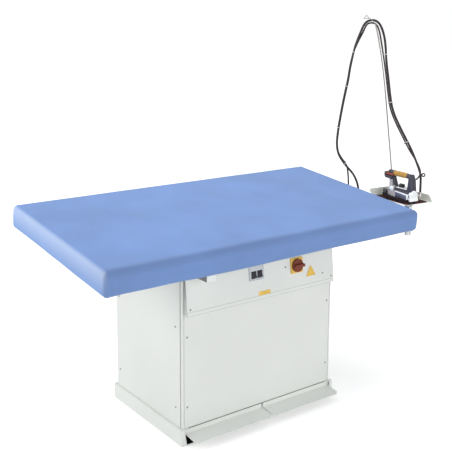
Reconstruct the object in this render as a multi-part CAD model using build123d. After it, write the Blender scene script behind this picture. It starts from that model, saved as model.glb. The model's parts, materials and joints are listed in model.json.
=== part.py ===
from build123d import *
import math
import os

# Vacuum ironing table. Millimetres, +X to the operator's right, +Y away from the
# operator, +Z up. The origin is on the floor under the middle of the cabinet.

# Board: the padded top
board_length = 1600
board_width = 815
board_depth = 94
board_slope = 6.3
board_height = 874
board_plan_r = 30
board_top_r = 12
board_hem_r = 22
board_crown = 4
cover_wall = 3
hem_width = 45
pad_thick = 20
air_sheet_thick = 2
air_hole_d = 12
air_hole_rows = 3
air_hole_columns = 7
pan_wall = 2
element_d = 8
element_passes = 6

# Cabinet
cabinet_width = 790
cabinet_depth = 526
plinth_height = 68
plinth_margin = 12
panel_wall = 2
front_top_drop = 129
seam_drop = 197
post_front_face = 6
post_side_face = 11
post_landing = 26
panel_gap = 2.5
groove_width = 7
groove_depth = 8
rail_flange = 30
rail_web = 40
rail_wall = 3
cross_rail_depth = 20
cross_rail_height = 44
board_gap = 5
panel_lip = 12
screw_head_r = 4
screw_head_t = 2
lower_screw_rise = 87
lower_screw_drop = 98
side_screw_rise = 74
side_screw_drop = 64
side_screw_inset = 32
rear_screw_inset = 26
vent_rows = 5
vent_pitch = 24
vent_drop = 185

# Sloping control panel
control_lead_top = 6
control_lead_bottom = 25
control_bend_r = 12
control_knee = 6
switch_size = 66
switch_plate_t = 5
switch_x = 175.6
switch_drop = 93
knob_d = 57
knob_depth = 22
knob_grip_w = 13
knob_spindle_d = 8
rocker_w = 25
rocker_h = 30
rocker_pitch = 31
rocker_x = -42
rocker_drop = 94
rocker_swing = 16
rocker_pin_d = 3
bezel_w = 74
bezel_h = 62
bezel_t = 5
bezel_rise = 7

# Square tube under the board
beam_size = 43
beam_wall = 3
beam_inset = 77
beam_drop = 55
beam_reach = 87

# Pedals
pedal_thick = 2.5
pedal_split_x = 8
pedal_split = 8
pedal_end_gap = 10
pedal_face_lead = 4
pedal_flange_gap = 2
pedal_flange = 17
pedal_tread = 79
pedal_fall = 9
pedal_corner = 14
pedal_hem_d = 5
pivot_inset = 29
pivot_drop = 18
pivot_d = 12
ear_thick = 3
ear_r = 11
ear_inset = 40
tail_length = 46
spring_wire = 2.4
spring_turns = 6
hanger_thick = 4
hanger_r = 12
hanger_foot = 18
switch_body_w = 20
switch_body_l = 34

# Fan
fan_x = 60
fan_y = 0
motor_d = 150
motor_height = 196
shaft_d = 12
housing_d = 290
housing_height = 96
housing_wall = 2.5
outlet_w = 96
impeller_d = 220
impeller_height = 52
impeller_blades = 9
impeller_blade_t = 3
wheel_plate = 3
inlet_d = 110
duct_wall = 2

# Steam
boiler_side_gap = 40
boiler_d = 210
boiler_length = 380
boiler_z = 205
cradle_thick = 6
cradle_w = 160
cradle_l = 260
saddle_y = 110
saddle_thick = 8
saddle_drop = 30
tank_gap = 36
tank_l = 210
tank_h = 290
tank_wall_r = 14
pump_d = 62
pump_length = 120
contactor_box_h = 101
gland_drop = 55
gland_reach = 26
steam_gland_y = 20
cable_gland_y = 98

# Iron rest
rest_reach = 85
rest_inset = 207.5
rest_turn = -5.5
tray_drop = 39
tray_wall = 2
tray_left = 62
tray_right = 76
tray_front = 128
tray_back = 108
tray_rim = 30
tray_flare = 18
tray_flare_back = 8
tray_round = 28
mat_thick = 4
mat_w = 122
mat_l = 208
mat_bump_pitch = 34
post_d = 28
post_x = -45
post_y = -121
post_tail = 22
arm_thick = 8
arm_width = 40
arm_root_inset = 160
hub_d = 46
hub_drop = 161
carrier_w = 30
carrier_t = 5
pole_d = 6
pole_x = 66
pole_y = 124
socket_d = 15
socket_low = 30
socket_high = 26
hook_wire = 3

# Iron, in its own frame: nose towards +Y, sole on the mat
sole_w = 98
sole_rear = -98
sole_nose = 104
sole_t = 12
body_w = 70
body_rear = -92
body_front = 92
body_h = 24
body_top_h = 33
dome_w = 44
dome_h = 50
dome_t = 12
column_w = 18
column_rear = 52
column_front = 70
column_top = 74
boss_y = 42
boss_z = 36
boss_r = 14
boss_reach = 26
handle_w = 28
grip_d = 27
grip_front = 33
grip_rear = -54
grip_height = 112
leg_rear_top = -82
leg_rear_foot = -111
lobe_front = 95
button_w = 12
button_l = 26
button_travel = 3
dial_y = -22
dial_d = 30
dial_t = 12
dial_stem_d = 8
inlet_x = 46
inlet_y = -98
inlet_od = 13

# Hoses
steam_d = 11
cable_d = 8
tie_wall = 1.2
tie_width = 4
arc_share = 0.45

# Clearances
fit_gap = 0.3
running_gap = 0.05

# Sizes that follow from the ones above
slope = math.radians(board_slope)
half_w = cabinet_width / 2
half_d = cabinet_depth / 2
front_y = -half_d
rear_face = half_d
deck_top = plinth_height + panel_wall
pan_low = -(board_depth - cover_wall) + fit_gap
sheet_low = -(cover_wall + pad_thick + air_sheet_thick)
cabinet_front_top = board_height - front_top_drop
seam_height = cabinet_front_top - seam_drop
knee_z = seam_height + control_knee
control_run = cabinet_front_top - knee_z
control_mid = (cabinet_front_top + knee_z) / 2
control_tilt = math.degrees(math.atan2(control_lead_bottom - control_lead_top, control_run))
switch_z = cabinet_front_top - switch_drop
rocker_z = cabinet_front_top - rocker_drop
panel_low = deck_top + 0.5
panel_edge_x = half_w - post_front_face - panel_gap
side_edge_y = front_y + post_side_face + groove_width
motor_top = deck_top + motor_height
housing_top = motor_top + housing_height
beam_x = -(half_w - beam_inset)
beam_bottom = cabinet_front_top - beam_drop
pedal_end_x = half_w - pedal_end_gap
pedal_face_y = front_y - pedal_face_lead
pedal_flange_top = plinth_height - pedal_flange_gap
pedal_fold_z = pedal_flange_top - pedal_flange
pivot_y = front_y + pivot_inset
pivot_z = plinth_height - pivot_drop
boiler_x = -(half_w - boiler_d / 2 - boiler_side_gap)
gland_z = cabinet_front_top - gland_drop
rest_x = board_length / 2 + rest_reach
rest_y = -board_width / 2 + rest_inset
tray_z = board_height - tray_drop
hub_bottom = board_height - hub_drop
post_bottom = hub_bottom - post_tail
arm_root_x = board_length / 2 - arm_root_inset
iron_z = tray_z + mat_thick

parts = {}


def on_board(shape):
    """Place a shape that is drawn with z = 0 on the board's top face."""
    return Location((0, 0, board_height), (board_slope, 0, 0)) * shape


def on_rest(shape):
    """Place a shape that is drawn about the middle of the iron rest."""
    return Location((rest_x, rest_y, 0), (0, 0, rest_turn)) * shape


def on_control(shape):
    """Place a shape that is drawn on the control panel: y = 0 is its outer face."""
    lead = (control_lead_top + control_lead_bottom) / 2
    return Location((0, front_y - lead, control_mid), (-control_tilt, 0, 0)) * shape


def control_height(world_z):
    """Distance along the sloping panel from its middle to a height above the floor."""
    return (world_z - control_mid) / math.cos(math.radians(control_tilt))


def span(x0, x1, y0, y1, z0, z1):
    """A block between two corners."""
    size = (abs(x1 - x0), abs(y1 - y0), abs(z1 - z0))
    return Pos((x0 + x1) / 2, (y0 + y1) / 2, (z0 + z1) / 2) * Box(*size)


def rod(start, end, radius):
    """A round bar between two points."""
    run = Vector(*end) - Vector(*start)
    face = Plane(origin=start, z_dir=run) * Circle(radius)
    return extrude(face, amount=run.length)


def side_profile(points, x0, x1):
    """A closed outline in Y and Z, extruded from x0 to x1."""
    face = make_face(Plane.YZ * Polyline(*points, close=True))
    return Pos(x0, 0, 0) * extrude(face, amount=x1 - x0, dir=(1, 0, 0))


def tube_along(points, diameter, name):
    """A round tube on straight runs joined by arcs as large as the runs allow."""
    corners = [Vector(*p) for p in points]
    radii = []
    for before, corner, after in zip(corners, corners[1:], corners[2:]):
        run_in = corner - before
        run_out = after - corner
        turn = math.radians(run_in.get_angle(run_out))
        shorter = min(run_in.length, run_out.length)
        radii.append(arc_share * shorter / math.tan(turn / 2))
    path = FilletPolyline(*points, radius=radii)
    section = Plane(origin=path @ 0, z_dir=path % 0) * Circle(diameter / 2)
    tube = sweep(section, path=path)
    expected = path.length * math.pi * diameter ** 2 / 4
    smallest = min(radii)
    print(name, "length", round(path.length), "tightest arc", round(smallest, 1),
          "volume ratio", round(tube.volume / expected, 4))
    return tube


# Board
def board_block(inset, low, crown):
    """The rounded, slightly crowned block of the board, drawn in by an inset."""
    length = board_length - 2 * inset
    width = board_width - 2 * inset
    top = -inset
    rise = ThreePointArc((width / 2, top - crown), (0, top), (-width / 2, top - crown))
    sides = Polyline((-width / 2, top - crown), (-width / 2, low), (width / 2, low), (width / 2, top - crown))
    face = make_face(Plane.YZ * Curve([rise, sides]))
    block = Pos(-length / 2, 0, 0) * extrude(face, amount=length, dir=(1, 0, 0))
    plan_r = board_plan_r - inset
    block = fillet(block.edges().filter_by(Axis.Z), plan_r)
    block = fillet(block.faces().sort_by(Axis.Z)[0].edges(), board_hem_r - inset)
    return fillet(block.faces().sort_by(Axis.Z)[-1].edges(), board_top_r - inset)


def make_cover():
    outer = board_block(0, -board_depth, board_crown)
    inner = board_block(cover_wall, -(board_depth - cover_wall), board_crown)
    opening_x = board_length / 2 - hem_width
    opening_y = board_width / 2 - hem_width
    opening = span(-opening_x, opening_x, -opening_y, opening_y, -board_depth - 1, -board_depth / 2)
    return outer - inner - opening


def board_slice(high, low):
    """The stack inside the cover, between two depths below the top face."""
    block = board_block(cover_wall + fit_gap, pan_low, board_crown)
    reach = board_length
    return block & span(-reach, reach, -reach, reach, low, high)


def make_padding():
    return board_slice(0, sheet_low + air_sheet_thick)


def make_air_sheet():
    sheet = board_slice(sheet_low + air_sheet_thick, sheet_low)
    step_x = board_length / (air_hole_columns + 1)
    step_y = board_width / (air_hole_rows + 1)
    grid = GridLocations(step_x, step_y, air_hole_columns, air_hole_rows)
    holes = grid * Cylinder(air_hole_d / 2, 2 * board_depth)
    return sheet - holes


def make_pan():
    """Welded from a floor, two long walls that curl into it and two rounded ends."""
    inset = cover_wall + fit_gap + pan_wall
    shell = board_slice(sheet_low, pan_low) - board_block(inset, pan_low + pan_wall, board_crown)
    reach = board_length
    flat_x = board_length / 2 - board_hem_r
    flat_y = board_width / 2 - board_hem_r
    flat = span(-flat_x, flat_x, -flat_y, flat_y, pan_low - 1, sheet_low)
    corner_x = board_length / 2 - board_plan_r
    rim = shell - flat
    rear = rim & span(-corner_x, corner_x, 0, reach, -reach, reach)
    right = rim & span(corner_x, reach, -reach, reach, -reach, reach)
    floor = on_board(shell & flat) - Pos(fan_x, fan_y, board_height) * Cylinder(inlet_d / 2, board_height / 2)
    walls = [rear, mirror(rear, about=Plane.XZ), right, mirror(right, about=Plane.YZ)]
    return [floor] + [on_board(wall) for wall in walls]


def make_element():
    """Serpentine heater lying on the floor of the pan."""
    half_run = board_length / 2 - 120
    pitch = (board_width - 240) / (element_passes - 1)
    height = pan_low + pan_wall + element_d / 2
    points = []
    for index in range(element_passes):
        y = (index - (element_passes - 1) / 2) * pitch
        side = 1 if index % 2 else -1
        points.append((side * half_run, y, height))
        points.append((-side * half_run, y, height))
    path = FilletPolyline(*points, radius=pitch / 2 - 1)
    section = Plane(origin=path @ 0, z_dir=path % 0) * Circle(element_d / 2)
    return on_board(sweep(section, path=path))


def above_pan():
    """Everything above the plane of the pan's underside, to trim what meets it."""
    return on_board(span(-board_length, board_length, -board_length, board_length, pan_low, board_length))


def make_duct():
    low = housing_top
    high = board_height
    outer = span_cylinder(fan_x, fan_y, inlet_d / 2, low, high)
    inner = span_cylinder(fan_x, fan_y, inlet_d / 2 - duct_wall, low - 1, high + 1)
    collar = span_cylinder(fan_x, fan_y, inlet_d / 2 + 12, low, low + 3)
    return (outer + collar) - inner - above_pan()


def span_cylinder(x, y, radius, z0, z1):
    """An upright cylinder between two heights."""
    return Pos(x, y, (z0 + z1) / 2) * Cylinder(radius, z1 - z0)


def make_pan_rails():
    """Angle rails that carry the pan, one inside each side panel."""
    outside = half_w - panel_wall - fit_gap
    flange = span(outside - rail_flange, outside, -half_d + 8, half_d - 20, pan_low - rail_wall, pan_low)
    web = span(outside - rail_wall, outside, -half_d + 8, half_d - 20, pan_low - rail_web, pan_low)
    rail = on_board(flange + web)
    return [rail, mirror(rail, about=Plane.YZ)]


def make_cross_rails():
    """Channels between the side panels, front and rear."""
    reach = half_w - groove_depth - 2.5
    front = span(-reach, reach, front_y + 8, front_y + 8 + cross_rail_depth,
                 cabinet_front_top - cross_rail_height, cabinet_front_top - fit_gap)
    front_hollow = span(-reach, reach, front_y + 8 + rail_wall, front_y + 9 + cross_rail_depth,
                        cabinet_front_top - cross_rail_height + rail_wall, cabinet_front_top - rail_wall)
    reach = half_w - panel_wall - fit_gap - rail_wall
    rear_high = pan_height(rear_face - 30) - board_gap
    rear = span(-reach, reach, rear_face - 8 - cross_rail_depth, rear_face - 8,
                rear_high - cross_rail_height, rear_high)
    rear_hollow = span(-reach, reach, rear_face - 9 - cross_rail_depth, rear_face - 8 - rail_wall,
                       rear_high - cross_rail_height + rail_wall, rear_high - rail_wall)
    return [front - front_hollow, rear - rear_hollow]


def pan_height(y):
    """Height of the pan's underside above the floor at a distance from the front."""
    along = (y + pan_low * math.sin(slope)) / math.cos(slope)
    return board_height + along * math.sin(slope) + pan_low * math.cos(slope)


# Plinth and deck
def plinth_side():
    """Left plinth strip with its ledge, foot flange and tapered front return."""
    x = -(half_w + plinth_margin)
    near = front_y - plinth_margin
    far = rear_face + plinth_margin
    wall = span(x, x + panel_wall, near, far, 0, plinth_height)
    ledge = span(x, x + 40, near, far, plinth_height - panel_wall, plinth_height)
    foot = span(x, x + 22, near, far, 0, panel_wall)
    outline = [(x, 0), (x + 25, 0), (x + 14, plinth_height), (x, plinth_height)]
    face = make_face(Plane.XZ * Polyline(*outline, close=True))
    front_return = Pos(0, near, 0) * extrude(face, amount=panel_wall, dir=(0, 1, 0))
    return wall + ledge + foot + front_return


def make_plinth_cross():
    """Rear plinth strip, and the tie strip across the underside."""
    reach = half_w + plinth_margin - panel_wall
    far = rear_face + plinth_margin
    wall = span(-reach, reach, far - panel_wall, far, panel_wall, plinth_height - panel_wall)
    foot = span(-reach + 20, reach - 20, far - 22, far, 0, panel_wall)
    ledge = span(-reach + 38, reach - 38, far - 40, far, plinth_height - panel_wall, plinth_height)
    tie = span(-reach + 20, reach - 20, -25, 25, 0, panel_wall)
    return [wall + foot + ledge, tie]


def make_deck():
    reach = half_w - panel_wall - 4
    deck = span(-reach, reach, front_y + 6, rear_face - 6, plinth_height, deck_top)
    lip_reach = half_w - post_landing - 4
    lip = span(-lip_reach, lip_reach, front_y + 6, front_y + 6 + panel_wall, deck_top, deck_top + 20)
    return deck + lip


# Panels
def make_corner_post():
    """Left front post: a face strip with a landing behind the front and side panels."""
    x = -half_w
    low = plinth_height
    high = cabinet_front_top
    strip = span(x, x + post_front_face, front_y, front_y + post_side_face, low, high)
    back = front_y + panel_wall + fit_gap
    front_landing = span(x + post_front_face, x + post_landing, back, back + 2.5, deck_top, high)
    inner = x + groove_depth
    web = span(inner, inner + 2.5, back, side_edge_y + 20, deck_top, high)
    return strip + front_landing + web


def make_side_panel():
    """Left side panel with folded edges; its top follows the board."""
    x = -half_w
    top_front = pan_height(side_edge_y) - board_gap
    top_rear = pan_height(rear_face) - board_gap
    outline = [(side_edge_y, plinth_height), (rear_face, plinth_height), (rear_face, top_rear),
               (side_edge_y, top_front)]
    skin = side_profile(outline, x, x + panel_wall)
    front_fold = [(side_edge_y, deck_top), (side_edge_y + panel_wall, deck_top),
                  (side_edge_y + panel_wall, top_front - 45), (side_edge_y, top_front - 45)]
    fold = side_profile(front_fold, x, x + groove_depth - fit_gap)
    inside = rear_face - panel_wall - fit_gap
    rear_fold = span(x, x + 18, inside - panel_wall, inside, deck_top + 1, pan_height(inside) - 60)
    return skin + fold + rear_fold


def make_lower_panel():
    skin = span(-panel_edge_x, panel_edge_x, front_y, front_y + panel_wall, panel_low, seam_height - 1)
    reach = half_w - post_landing - 4
    top_lip = span(-reach, reach, front_y, front_y + panel_lip, seam_height - 1 - panel_wall, seam_height - 1)
    return skin + top_lip


def control_section(shrink):
    """Side outline of the sloping panel, drawn in by a wall thickness."""
    top = (front_y - control_lead_top + shrink, cabinet_front_top - shrink)
    knee = (front_y - control_lead_bottom + shrink, knee_z + shrink)
    root = (front_y, seam_height + shrink)
    back = front_y + panel_wall + (30 if shrink else 0)
    outline = [top, knee, root, (back, root[1]), (back, top[1])]
    return outline


def make_control_panel():
    """Sloping folded panel with closed cheeks, open at the back."""
    reach = panel_edge_x + 1
    outer = side_profile(control_section(0), -reach, reach)
    knees = outer.edges().filter_by(Axis.X).sort_by(Axis.Y)[0]
    outer = fillet(knees, control_bend_r)
    inner = side_profile(control_section(panel_wall), -reach + panel_wall, reach - panel_wall)
    panel = outer - inner
    notch = span(beam_x - beam_size / 2 - 1, beam_x + beam_size / 2 + 1, front_y - 60, front_y + 7,
                 beam_bottom - 1, cabinet_front_top + 1)
    spindle = Pos(switch_x, 0, control_height(switch_z)) * Rot(90, 0, 0) * Cylinder(knob_spindle_d, 60)
    window = Pos(rocker_x, 0, control_height(rocker_z))
    window = window * Box(bezel_w - 10 + 2 * fit_gap, 60, rocker_h + 6 + 2 * fit_gap)
    return panel - notch - on_control(spindle) - on_control(window)


def make_rear_panel():
    """Rear panel with rows of vent slots and the outlet slots of the fan."""
    reach = half_w - panel_wall - fit_gap
    high = pan_height(rear_face) - board_gap
    panel = span(-reach, reach, rear_face - panel_wall, rear_face, panel_low, high)
    fold = span(-reach + 20, reach - 20, rear_face - panel_lip, rear_face, high - panel_wall, high)
    slots = []
    for column in (-1, 1):
        for row in range(vent_rows):
            height = cabinet_front_top - vent_drop + vent_pitch * row
            slots.append(Pos(column * half_w / 2, rear_face, height) * Box(160, 10, 6))
    outlet_mid = motor_top + housing_height / 2
    for row in range(4):
        height = outlet_mid + (row - 1.5) * 18
        slots.append(Pos(fan_x + outlet_middle(), rear_face, height) * Box(outlet_w - 16, 10, 8))
    return panel + fold - slots


def outlet_middle():
    """Sideways distance from the fan's axis to the middle of its outlet."""
    return housing_d / 2 - outlet_w / 2


def screw_head(x, y, z, turn):
    """A low round head whose flat back lies on a panel."""
    head = Cylinder(screw_head_r, screw_head_t, align=(Align.CENTER, Align.CENTER, Align.MIN))
    head = chamfer(head.edges().sort_by(Axis.Z)[-1], screw_head_t / 2)
    return Pos(x, y, z) * turn * head


def make_screws():
    to_front = Rot(90, 0, 0)
    to_rear = Rot(-90, 0, 0)
    heads = []
    for x in (-panel_edge_x + 14, panel_edge_x - 14):
        for z in (deck_top + lower_screw_rise, seam_height - lower_screw_drop):
            heads.append(screw_head(x, front_y, z, to_front))
        height = control_height(knee_z + control_bend_r + screw_head_r)
        heads.append(on_control(screw_head(x, 0, height, to_front)))
    for x, z in ((115, control_mid + 3.5), (panel_edge_x - 62.5, control_mid - 57.5)):
        heads.append(on_control(screw_head(x, 0, control_height(z), to_front)))
    for y in (side_edge_y + side_screw_inset, rear_face - rear_screw_inset):
        for z in (deck_top + side_screw_rise, seam_height - side_screw_drop):
            heads.append(screw_head(-half_w, y, z, Rot(0, -90, 0)))
            heads.append(screw_head(half_w, y, z, Rot(0, 90, 0)))
    for x in (-half_w + 12, half_w - 12):
        for z in (deck_top + 40, seam_height - 128, cabinet_front_top - 45):
            heads.append(screw_head(x, rear_face, z, to_rear))
    return heads


def make_beam():
    """Square tube with a closed, slightly domed end cap, welded to the front rail."""
    near = front_y - beam_reach
    far = front_y + 8
    half = beam_size / 2
    outer = span(beam_x - half, beam_x + half, near, far, beam_bottom, beam_bottom + beam_size)
    outer = fillet(outer.edges().filter_by(Axis.Y), 3)
    inner = span(beam_x - beam_size / 2 + beam_wall, beam_x + beam_size / 2 - beam_wall, near + 6, far + 1,
                 beam_bottom + beam_wall, beam_bottom + beam_size - beam_wall)
    return outer - inner


# Switches
def make_switch_plate():
    plate = Pos(switch_x, -switch_plate_t / 2, control_height(switch_z)) * Box(switch_size, switch_plate_t,
                                                                             switch_size)
    plate = fillet(plate.edges().filter_by(Axis.Y), 5)
    collar = Pos(switch_x, -switch_plate_t - 1, control_height(switch_z)) * Rot(90, 0, 0) * Cylinder(22, 2)
    bore = Pos(switch_x, 0, control_height(switch_z)) * Rot(90, 0, 0)
    bore = bore * Cylinder(knob_spindle_d / 2 + running_gap, 60)
    return on_control(plate + collar - bore)


def make_knob():
    """Round knob with a raised grip bar and a spindle through the plate."""
    back = switch_plate_t + 2 + fit_gap
    axis = Pos(switch_x, -back, control_height(switch_z)) * Rot(90, 0, 0)
    base = Cylinder(knob_d / 2, 8, align=(Align.CENTER, Align.CENTER, Align.MIN))
    base = fillet(base.edges().sort_by(Axis.Z)[-1], 2)
    grip = Pos(0, 0, knob_depth / 2 + 3) * Box(knob_d - 3, knob_grip_w, knob_depth - 6)
    grip = fillet(grip.edges().filter_by(Axis.Z), 4)
    grip = fillet(grip.faces().sort_by(Axis.Z)[-1].edges(), 2)
    spindle = Pos(0, 0, -12) * Cylinder(knob_spindle_d / 2, 26)
    return on_control(axis * (base + grip + spindle))


def rocker_centres():
    return [rocker_x - rocker_pitch / 2, rocker_x + rocker_pitch / 2]


def make_bezel():
    """Frame round the two rockers, with a raised rim above them."""
    middle = Pos(rocker_x, -bezel_t / 2, control_height(rocker_z + bezel_rise))
    frame = middle * Box(bezel_w, bezel_t, bezel_h)
    frame = fillet(frame.edges().filter_by(Axis.Y), 4)
    well = Pos(rocker_x, 9 - bezel_t, control_height(rocker_z)) * Box(bezel_w - 10, 18, rocker_h + 6)
    body = frame + well
    height = control_height(rocker_z)
    for x in rocker_centres():
        body = body - Pos(x, 0, height) * Box(rocker_w + 2 * fit_gap, 60, rocker_h + 2 * fit_gap)
    pin = Pos(rocker_x, 0, height) * Rot(0, 90, 0)
    pin = pin * Cylinder(rocker_pin_d / 2 + running_gap, 2 * rocker_pitch + 1)
    return on_control(body - pin)


def make_rocker(x):
    """Rocker tipped to its off side, on a short pivot pin."""
    drum = Rot(0, 90, 0) * Cylinder(rocker_h / 2 - fit_gap, rocker_w)
    half = rocker_h / 2
    nose = [(-bezel_t - 4, half), (-bezel_t - 1, 0), (-bezel_t - 4, -half), (9, -half), (9, half)]
    body = drum & side_profile(nose, -rocker_w / 2, rocker_w / 2)
    pin = Rot(0, 90, 0) * Cylinder(rocker_pin_d / 2, rocker_w + 4)
    tipped = Rot(-rocker_swing / 2, 0, 0) * (body + pin)
    return on_control(Pos(x, 0, control_height(rocker_z)) * tipped)


# Pedals
def make_pedal(x0, x1):
    """Bent tread plate with a rolled lip, two ears on the shaft and a switch tail."""
    face = pedal_face_y
    back = face + pedal_thick
    lip_y = face - pedal_tread
    lip_z = pedal_fold_z - pedal_fall
    outline = [(face, pedal_flange_top), (face, pedal_fold_z), (lip_y, lip_z), (lip_y, lip_z - pedal_thick),
               (back, pedal_fold_z - pedal_thick), (back, pedal_flange_top)]
    body = side_profile(outline, x0, x1)
    for x, inward in ((x0, pedal_corner), (x1, -pedal_corner)):
        corner = make_face(Polyline((x, lip_y), (x + inward, lip_y), (x, lip_y + pedal_corner), close=True))
        body = body - Pos(0, 0, lip_z - 5) * extrude(corner, amount=2 * pedal_fall, dir=(0, 0, 1))
    lip = rod((x0 + pedal_corner + 1, lip_y + 1, lip_z - 1), (x1 - pedal_corner - 1, lip_y + 1, lip_z - 1),
              pedal_hem_d / 2)
    body = body + lip
    for x in (x0 + ear_inset, x1 - ear_inset):
        body = body + pedal_ear(x)
    bore = rod((x0 - 1, pivot_y, pivot_z), (x1 + 1, pivot_y, pivot_z), pivot_d / 2 + running_gap)
    return body - bore


def pedal_ear(x):
    """Upright lever plate from the flange round the shaft, with a tail behind it."""
    left = x - ear_thick / 2
    right = x + ear_thick / 2
    front = pedal_face_y + pedal_thick / 2
    low = pedal_fold_z - pedal_thick / 2
    tail = pivot_y + tail_length
    outline = [(front, low), (front, pedal_flange_top - 2), (pivot_y, pivot_z + 8), (tail, pivot_z + 7),
               (tail, pivot_z - 4), (pivot_y, pivot_z - ear_r), (pivot_y - ear_r, pivot_z - ear_r)]
    plate = side_profile(outline, left, right)
    return plate + rod((left, pivot_y, pivot_z), (right, pivot_y, pivot_z), ear_r)


def pedal_ends():
    left = (-pedal_end_x, pedal_split_x - pedal_split / 2)
    right = (pedal_split_x + pedal_split / 2, pedal_end_x)
    return left, right


def ear_places():
    """X of every ear, left pedal first."""
    places = []
    for x0, x1 in pedal_ends():
        places.extend((x0 + ear_inset, x1 - ear_inset))
    return places


def hanger_places():
    left, right = pedal_ends()
    return [left[0] + ear_inset - 14, pedal_split_x, right[1] - ear_inset + 14]


def make_shaft():
    ends = hanger_places()
    reach = hanger_thick / 2 + 6
    return rod((ends[0] - reach, pivot_y, pivot_z), (ends[2] + reach, pivot_y, pivot_z), pivot_d / 2)


def make_hangers():
    """Plates that hang the shaft from the deck."""
    hangers = []
    for x in hanger_places():
        left = x - hanger_thick / 2
        right = x + hanger_thick / 2
        near = pivot_y - hanger_r
        far = pivot_y + hanger_r
        plate = span(left, right, near, far, pivot_z, plinth_height)
        plate = plate + rod((left, pivot_y, pivot_z), (right, pivot_y, pivot_z), hanger_r)
        inward = -hanger_foot if x > pedal_split_x else hanger_foot
        foot = span(x, x + inward, near, far, plinth_height - 3, plinth_height)
        bore = rod((left - 1, pivot_y, pivot_z), (right + 1, pivot_y, pivot_z), pivot_d / 2)
        hangers.append(plate + foot - bore)
    return hangers


def spring_places():
    left, right = ear_places()[0], ear_places()[3]
    length = spring_wire * spring_turns
    return [left + ear_thick / 2 + 2, right - ear_thick / 2 - 2 - length]


def make_springs():
    """Close wound torsion springs on the shaft beside the outer ears."""
    springs = []
    inner = pivot_d / 2 + fit_gap
    for x in spring_places():
        length = spring_wire * spring_turns
        coil = rod((x, pivot_y, pivot_z), (x + length, pivot_y, pivot_z), inner + spring_wire / 2)
        for turn in range(spring_turns):
            ring = Pos(x + (turn + 0.5) * spring_wire, pivot_y, pivot_z) * Rot(0, 90, 0)
            coil = coil + ring * Torus(inner + spring_wire / 2, spring_wire / 2)
        springs.append(coil - rod((x - 1, pivot_y, pivot_z), (x + length + 1, pivot_y, pivot_z), inner))
    return springs


def make_pedal_switches():
    """Small switches under the deck, above the tails of the inner ears."""
    switches = []
    tails = pivot_y + tail_length - 8
    for x in (ear_places()[1], ear_places()[2]):
        body = span(x - switch_body_w / 2, x + switch_body_w / 2, tails - switch_body_l / 2,
                    tails + switch_body_l / 2, plinth_height - 4.2, plinth_height)
        switches.append(fillet(body.edges().filter_by(Axis.Z), 2))
    return switches


# Fan
def make_motor():
    body = span_cylinder(fan_x, fan_y, motor_d / 2, deck_top, motor_top)
    foot = span_cylinder(fan_x, fan_y, motor_d / 2 + 14, deck_top, deck_top + 6)
    waist_low = deck_top + 30
    fins = []
    for row in range(5):
        low = waist_low + row * 26
        ring = span_cylinder(fan_x, fan_y, motor_d / 2 + 1, low, low + 8)
        fins.append(ring - span_cylinder(fan_x, fan_y, motor_d / 2 - 4, low - 1, low + 9))
    bore = span_cylinder(fan_x, fan_y, shaft_d / 2 + running_gap, motor_top - 60, motor_top + 1)
    return body + foot - fins - bore


def make_fan_shaft():
    shaft = span_cylinder(fan_x, fan_y, shaft_d / 2, motor_top - 58, impeller_low() + 30)
    return chamfer(shaft.edges().sort_by(Axis.Z)[-1], 1)


def impeller_low():
    return motor_top + 18


def make_impeller():
    """Back plate on its hub, curved blades, and a shroud ring riveted over them."""
    low = impeller_low()
    high = low + impeller_height
    plate = span_cylinder(fan_x, fan_y, impeller_d / 2, low, low + wheel_plate)
    hub = span_cylinder(fan_x, fan_y, 22, low, low + 26)
    back = plate + hub - span_cylinder(fan_x, fan_y, shaft_d / 2, low - 1, high)
    shroud = span_cylinder(fan_x, fan_y, impeller_d / 2, high - wheel_plate, high)
    shroud = shroud - span_cylinder(fan_x, fan_y, inlet_d / 2 - 4, low, high + 1)
    blade = Pos(0, 0, low + wheel_plate) * impeller_blade()
    turns = [Rot(0, 0, 360 / impeller_blades * index) for index in range(impeller_blades)]
    return [back, shroud] + [Pos(fan_x, fan_y, 0) * turn * blade for turn in turns]


def impeller_blade():
    """One backward curved blade between two arcs."""
    root = impeller_d * 0.27
    tip = impeller_d / 2 - 3
    sweep_angle = math.radians(48)
    mid = (root + tip) / 2
    half = impeller_blade_t / 2
    end = (tip * math.cos(sweep_angle), tip * math.sin(sweep_angle))
    middle = (mid * math.cos(sweep_angle * 0.34), mid * math.sin(sweep_angle * 0.34))
    inner = ThreePointArc((root, -half), (middle[0] + half, middle[1] - half), (end[0] + half, end[1] - half))
    outer = ThreePointArc((root, half), (middle[0] - half, middle[1] + half), (end[0] - half, end[1] + half))
    ends = [Line(inner @ 0, outer @ 0), Line(inner @ 1, outer @ 1)]
    return extrude(make_face(Curve([inner, outer] + ends)), amount=impeller_height - 2 * wheel_plate, dir=(0, 0, 1))


def make_housing():
    """Two cheeks welded to a wrapped wall, with a straight outlet to the rear panel."""
    edge = outlet_middle()
    far = rear_face - panel_wall - fit_gap
    left = fan_x + edge - outlet_w / 2
    right = fan_x + edge + outlet_w / 2
    wall = housing_wall
    drum = span_cylinder(fan_x, fan_y, housing_d / 2, motor_top, housing_top)
    outer = drum + span(left, right, fan_y, far, motor_top, housing_top)
    hollow = span_cylinder(fan_x, fan_y, housing_d / 2 - wall, motor_top, housing_top)
    hollow = hollow + span(left + wall, right - wall, fan_y, far + 1, motor_top, housing_top)
    inlet = span_cylinder(fan_x, fan_y, inlet_d / 2 - duct_wall, motor_top, housing_top)
    neck = span_cylinder(fan_x, fan_y, shaft_d / 2 + 6, motor_top, housing_top)
    cheek = span(-half_w, half_w, -half_d, half_d, motor_top, motor_top + wall)
    lift = Pos(0, 0, housing_height - wall)
    between = span(-half_w, half_w, -half_d, half_d, motor_top + wall, housing_top - wall)
    return [(outer & cheek) - neck, (outer - hollow) & between, (outer & lift * cheek) - inlet]


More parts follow.
